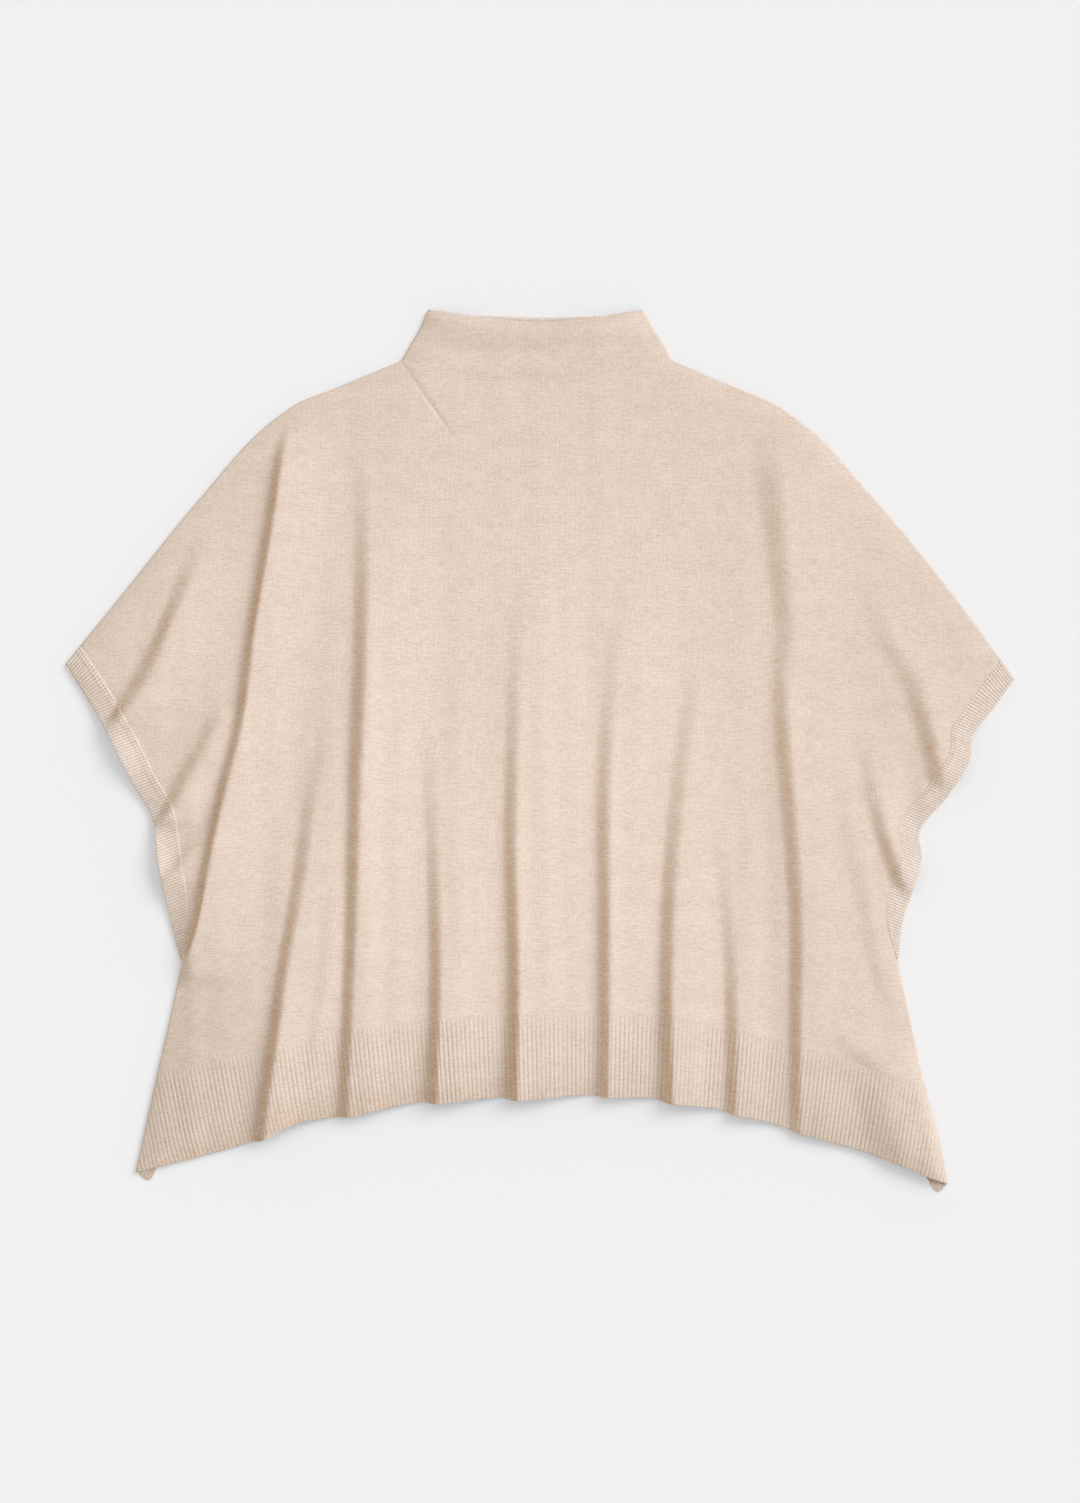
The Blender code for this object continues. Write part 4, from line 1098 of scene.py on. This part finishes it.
def make_world(scene, colour, strength, light_colour):
    """Even light from all round; the camera sees the space as pale as the floor."""
    world = bpy.data.worlds.new("soft studio")
    world.use_nodes = True
    nodes = world.node_tree.nodes
    bench = NodeBench(world.node_tree)
    bench.feed(nodes["Background"], Color=(*light_colour, 1.0), Strength=strength)
    ray, seen = bench.node("ShaderNodeLightPath"), bench.node("ShaderNodeBackground", (*colour, 1.0))
    mixer = bench.node("ShaderNodeMixShader", bench.out(ray, "Is Camera Ray"),
                       bench.out(nodes["Background"]), bench.out(seen))
    bench.feed(nodes["World Output"], Surface=bench.out(mixer))
    scene.world = world


def collected(name, objects):
    collection = bpy.data.collections.new(name)
    for item in objects:
        collection.objects.link(item)
    return collection


def make_lights(scene, stage, floor):
    """The key comes from the upper side of the wearer's left, and makes up for the colour of
    the soft light, so that only shade looks warm.  The floor takes only part of its shadow, and
    a small soft light above the middle falls on the garment alone."""
    garment, ground = collected("garment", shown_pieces()), collected("ground", [floor])
    full = stage.key * math.pi / math.sin(stage.key_rise)
    shadow = stage.floor_shadow
    warm = np.array(stage.soft_colour) - 1.0
    on_garment = 1.0 - warm * stage.ambient / stage.key
    on_floor = 1.0 - warm * stage.ambient / (stage.key * (1.0 - shadow))
    suns = (("key", full, on_garment, stage.key_turn, garment, None),
            ("key on floor", full * shadow, (1.0, 1.0, 1.0), stage.floor_turn, ground, None),
            ("floor fill", full * (1.0 - shadow), on_floor, stage.floor_turn, ground, ground))
    for name, energy, colour, turn, lit, blockers in suns:
        light = bpy.data.lights.new(name, "SUN")
        light.angle = stage.key_spread
        light.energy = energy
        light.color = colour
        lamp = placed(scene, name, light, turn=(0.0, math.pi / 2 - stage.key_rise, turn))
        lamp.light_linking.receiver_collection = lit
        if blockers:
            lamp.light_linking.blocker_collection = blockers
    light = bpy.data.lights.new("glow", "AREA")
    light.shape = "DISK"
    light.size = GLOW_WIDTH
    light.energy = stage.glow * (math.pi * GLOW_PLACE[2]) ** 2
    glow = placed(scene, "glow", light, GLOW_PLACE)
    glow.light_linking.receiver_collection = garment


def make_camera(scene, stage):
    """A camera straight above; the long side of the picture is its height."""
    data = bpy.data.cameras.new("camera")
    data.sensor_width = SENSOR_WIDTH
    data.lens = SENSOR_WIDTH * stage.camera_height / stage.frame_height
    data.clip_end = CAMERA_REACH
    scene.camera = placed(scene, "camera", data, (*CAMERA_PLACE, stage.camera_height))


# ---------------------------------------------------------------- operators

class SWEATER_OT_back_panel(bpy.types.Operator):
    """Knit the back panel, which lies flat on the surface"""
    bl_idname = "sweater.back_panel"
    bl_label = "Back panel"

    def execute(self, context):
        sizes = context.scene.sweater_sizes
        wall = Wall("back", body_plan()[:, ::BACK_THINNING], sizes.wall / MM, sizes)
        waves = ripples(wall.x, wall.y, 1.0)
        wall.under = UNDERSIDE_RISE * np.clip(waves - UNDERSIDE_FLAT, 0.0, 1.0)
        wall.map_over_folds()
        wall.round_joined_edge()
        lay(context, wall, "back_panel", PANEL)
        return {"FINISHED"}


class SWEATER_OT_front_panel(bpy.types.Operator):
    """Knit the front panel with its falling folds"""
    bl_idname = "sweater.front_panel"
    bl_label = "Front panel"

    def execute(self, context):
        sizes = context.scene.sweater_sizes
        wall = Wall("front", body_plan(), sizes.wall / MM, sizes)
        wall.map_over_folds()
        wall.round_joined_edge()
        step, loop = fashioned_lines(wall.x, wall.y)
        # Painted shade along the fashioned steps and in the collar's hollow, and a painted highlight
        # on the fashioned loops.
        wall.masks["furrow"] = FASHIONED_PAINTED_LIGHT * step + neck_shade(wall.x, wall.y)
        wall.masks["crown"] = FASHIONED_PAINTED_LIGHT * loop
        lay(context, wall, "front_panel", PANEL, coarse=BODY_COARSE)
        return {"FINISHED"}


class SWEATER_OT_collar(bpy.types.Operator):
    """Knit the two halves of the funnel collar"""
    bl_idname = "sweater.collar"
    bl_label = "Funnel collar"

    def execute(self, context):
        sizes = context.scene.sweater_sizes
        for layer, marks, rests_on in (("front", COLLAR_FRONT_TOP, "collar_back_knit"),
                                       ("back", COLLAR_BACK_TOP, "floor")):
            plan, ups, across = collar_plan(marks)
            wall = Wall(layer, plan, sizes.wall / MM, sizes, raised=collar_roll(ups, across))
            wall.map_over_folds()
            wall.round_joined_edge()
            wall.round_free_edge(ups, BAND_RADIUS)
            # The front collar takes the hollow's painted shade; the back takes painted light along
            # its top, where the front's lip shades it.
            if layer == "front":
                wall.masks["furrow"] = neck_shade(wall.x, wall.y)
            else:
                wall.masks["crown"] = bell(wall.from_free_edge(ups), LIP_PAINTED_LIGHT)
            lay(context, wall, f"collar_{layer}", COLLAR)
        return {"FINISHED"}


class SWEATER_OT_hem_ribbing(bpy.types.Operator):
    """Knit the deep ribbed hem, front and back"""
    bl_idname = "sweater.hem_ribbing"
    bl_label = "Hem ribbing"

    def execute(self, context):
        sizes = context.scene.sweater_sizes
        band = height_on(smooth(RIB_TOP), 0.0) - height_on(HEM_LINE, 0.0)
        downs = crowded(band, HEM_ROWS, BESIDE_SEAM)
        layers = (("front", FRONT_HEM, HEM_DIP, sizes.rib_height / MM, 0.0, "hem_rib_back_knit"),
                  ("back", BACK_HEM, 0.0, BACK_RIB_HEIGHT, BACK_HEM_SHADE, "floor"))
        for layer, marks, dip, rib_height, least_shade, rests_on in layers:
            plan = hem_plan(marks, sizes.hem_ribs, downs, dip)
            wall = Wall(layer, plan, sizes.rib_wall / MM, sizes)
            columns = plan.shape[1]
            depth = uneven(columns, sizes.hem_ribs + 1, RIB_DEPTHS, RIB_SEED)
            furrow = depth * (1 - rib_profile(columns)) * ease(downs * band / HEM_SEAM_FADE)[:, None]
            wall.over = wall.over + rib_height * (1 - furrow)
            # Painted shade in the furrows; the back hem, which the front shades, takes some all over.
            wall.masks["furrow"] = np.maximum(RIB_FURROW_SHADE * furrow, least_shade)
            wall.map_along_ribs(from_edge=True)
            wall.round_free_edge(downs, BAND_RADIUS)
            wall.round_joined_edge()
            lay(context, wall, f"hem_rib_{layer}", HEM, coarse=POINTS_PER_RIB)
        return {"FINISHED"}


class SWEATER_OT_armhole_trims(bpy.types.Operator):
    """Knit the narrow ribbed trims of both armholes"""
    bl_idname = "sweater.armhole_trims"
    bl_label = "Armhole trims"

    def execute(self, context):
        sizes = context.scene.sweater_sizes
        columns = sizes.trim_ribs * POINTS_PER_RIB
        from_seam = np.concatenate((LINKING_STEPS, TRIM_WIDTH - EDGE_STEPS[::-1]))
        outs = from_seam / TRIM_WIDTH
        profile = rib_profile(columns + 1)
        above = (sizes.wall - sizes.rib_wall) / MM
        in_furrow, on_crest = TRIM_PALENESS
        for side in SIDES:
            plan = trim_plan(side, columns, outs)
            linking = linking_rows(from_seam, columns + 1, LINKING_SEEDS[side])
            for layer in LAYERS:
                wall = Wall(layer, plan, sizes.rib_wall / MM, sizes)
                relief = profile * ease(from_seam / TRIM_SEAM_FADE)[:, None] + linking
                wall.over = wall.over + above + TRIM_RELIEF[layer] * relief
                # Painted shade in the furrows, and a painted highlight on the crests and the linking
                # stitches over an even paleness of the trim.
                wall.masks["furrow"] = TRIM_FURROW_SHADE * (1 - profile)
                wall.masks["crown"] = np.maximum(linking, in_furrow + on_crest * profile)
                wall.map_along_ribs(from_edge=False)
                wall.round_free_edge(outs, TRIM_RADIUS)
                wall.round_joined_edge()
                lay(context, wall, f"armhole_trim_{layer}_{side}", TRIM,
                    coarse=POINTS_PER_RIB)
        return {"FINISHED"}


class SWEATER_OT_stage(bpy.types.Operator):
    """Set up the pale floor, the soft light and the camera above the garment"""
    bl_idname = "sweater.stage"
    bl_label = "Stage"

    def execute(self, context):
        scene, stage = context.scene, context.scene.sweater_stage
        colour = scene.sweater_colours.floor
        floor = make_floor(scene, colour)
        make_world(scene, colour, stage.ambient, stage.soft_colour)
        make_lights(scene, stage, floor)
        make_camera(scene, stage)
        scene.view_settings.view_transform = "Standard"
        scene.view_settings.look = "None"
        scene.view_settings.exposure = 0.0
        scene.view_settings.gamma = 1.0
        return {"FINISHED"}


class SWEATER_PT_panel(bpy.types.Panel):
    """Lists the pieces of the sweater"""
    bl_idname = "SWEATER_PT_panel"
    bl_label = "Poncho sweater"
    bl_space_type = "VIEW_3D"
    bl_region_type = "UI"
    bl_category = "Sweater"

    def draw(self, context):
        layout = self.layout
        for operator in OPERATORS:
            layout.operator(operator.bl_idname)
        for group in (context.scene.sweater_sizes, context.scene.sweater_colours,
                      context.scene.sweater_stage):
            box = layout.box()
            for key in group.__annotations__:
                box.prop(group, key)


OPERATORS = (SWEATER_OT_back_panel, SWEATER_OT_front_panel, SWEATER_OT_collar,
             SWEATER_OT_hem_ribbing, SWEATER_OT_armhole_trims, SWEATER_OT_stage)
CLASSES = (SweaterSizes, SweaterColours, SweaterStage, *OPERATORS, SWEATER_PT_panel)


def register():
    for item in CLASSES:
        bpy.utils.register_class(item)
    bpy.types.Scene.sweater_sizes = PointerProperty(type=SweaterSizes)
    bpy.types.Scene.sweater_colours = PointerProperty(type=SweaterColours)
    bpy.types.Scene.sweater_stage = PointerProperty(type=SweaterStage)


def unregister():
    del bpy.types.Scene.sweater_stage
    del bpy.types.Scene.sweater_colours
    del bpy.types.Scene.sweater_sizes
    for item in reversed(CLASSES):
        bpy.utils.unregister_class(item)


def main():
    """Builds every piece and the stage."""
    register()
    for operator in OPERATORS:
        group, name = operator.bl_idname.split(".")
        getattr(getattr(bpy.ops, group), name)()


if __name__ == "__main__":
    main()
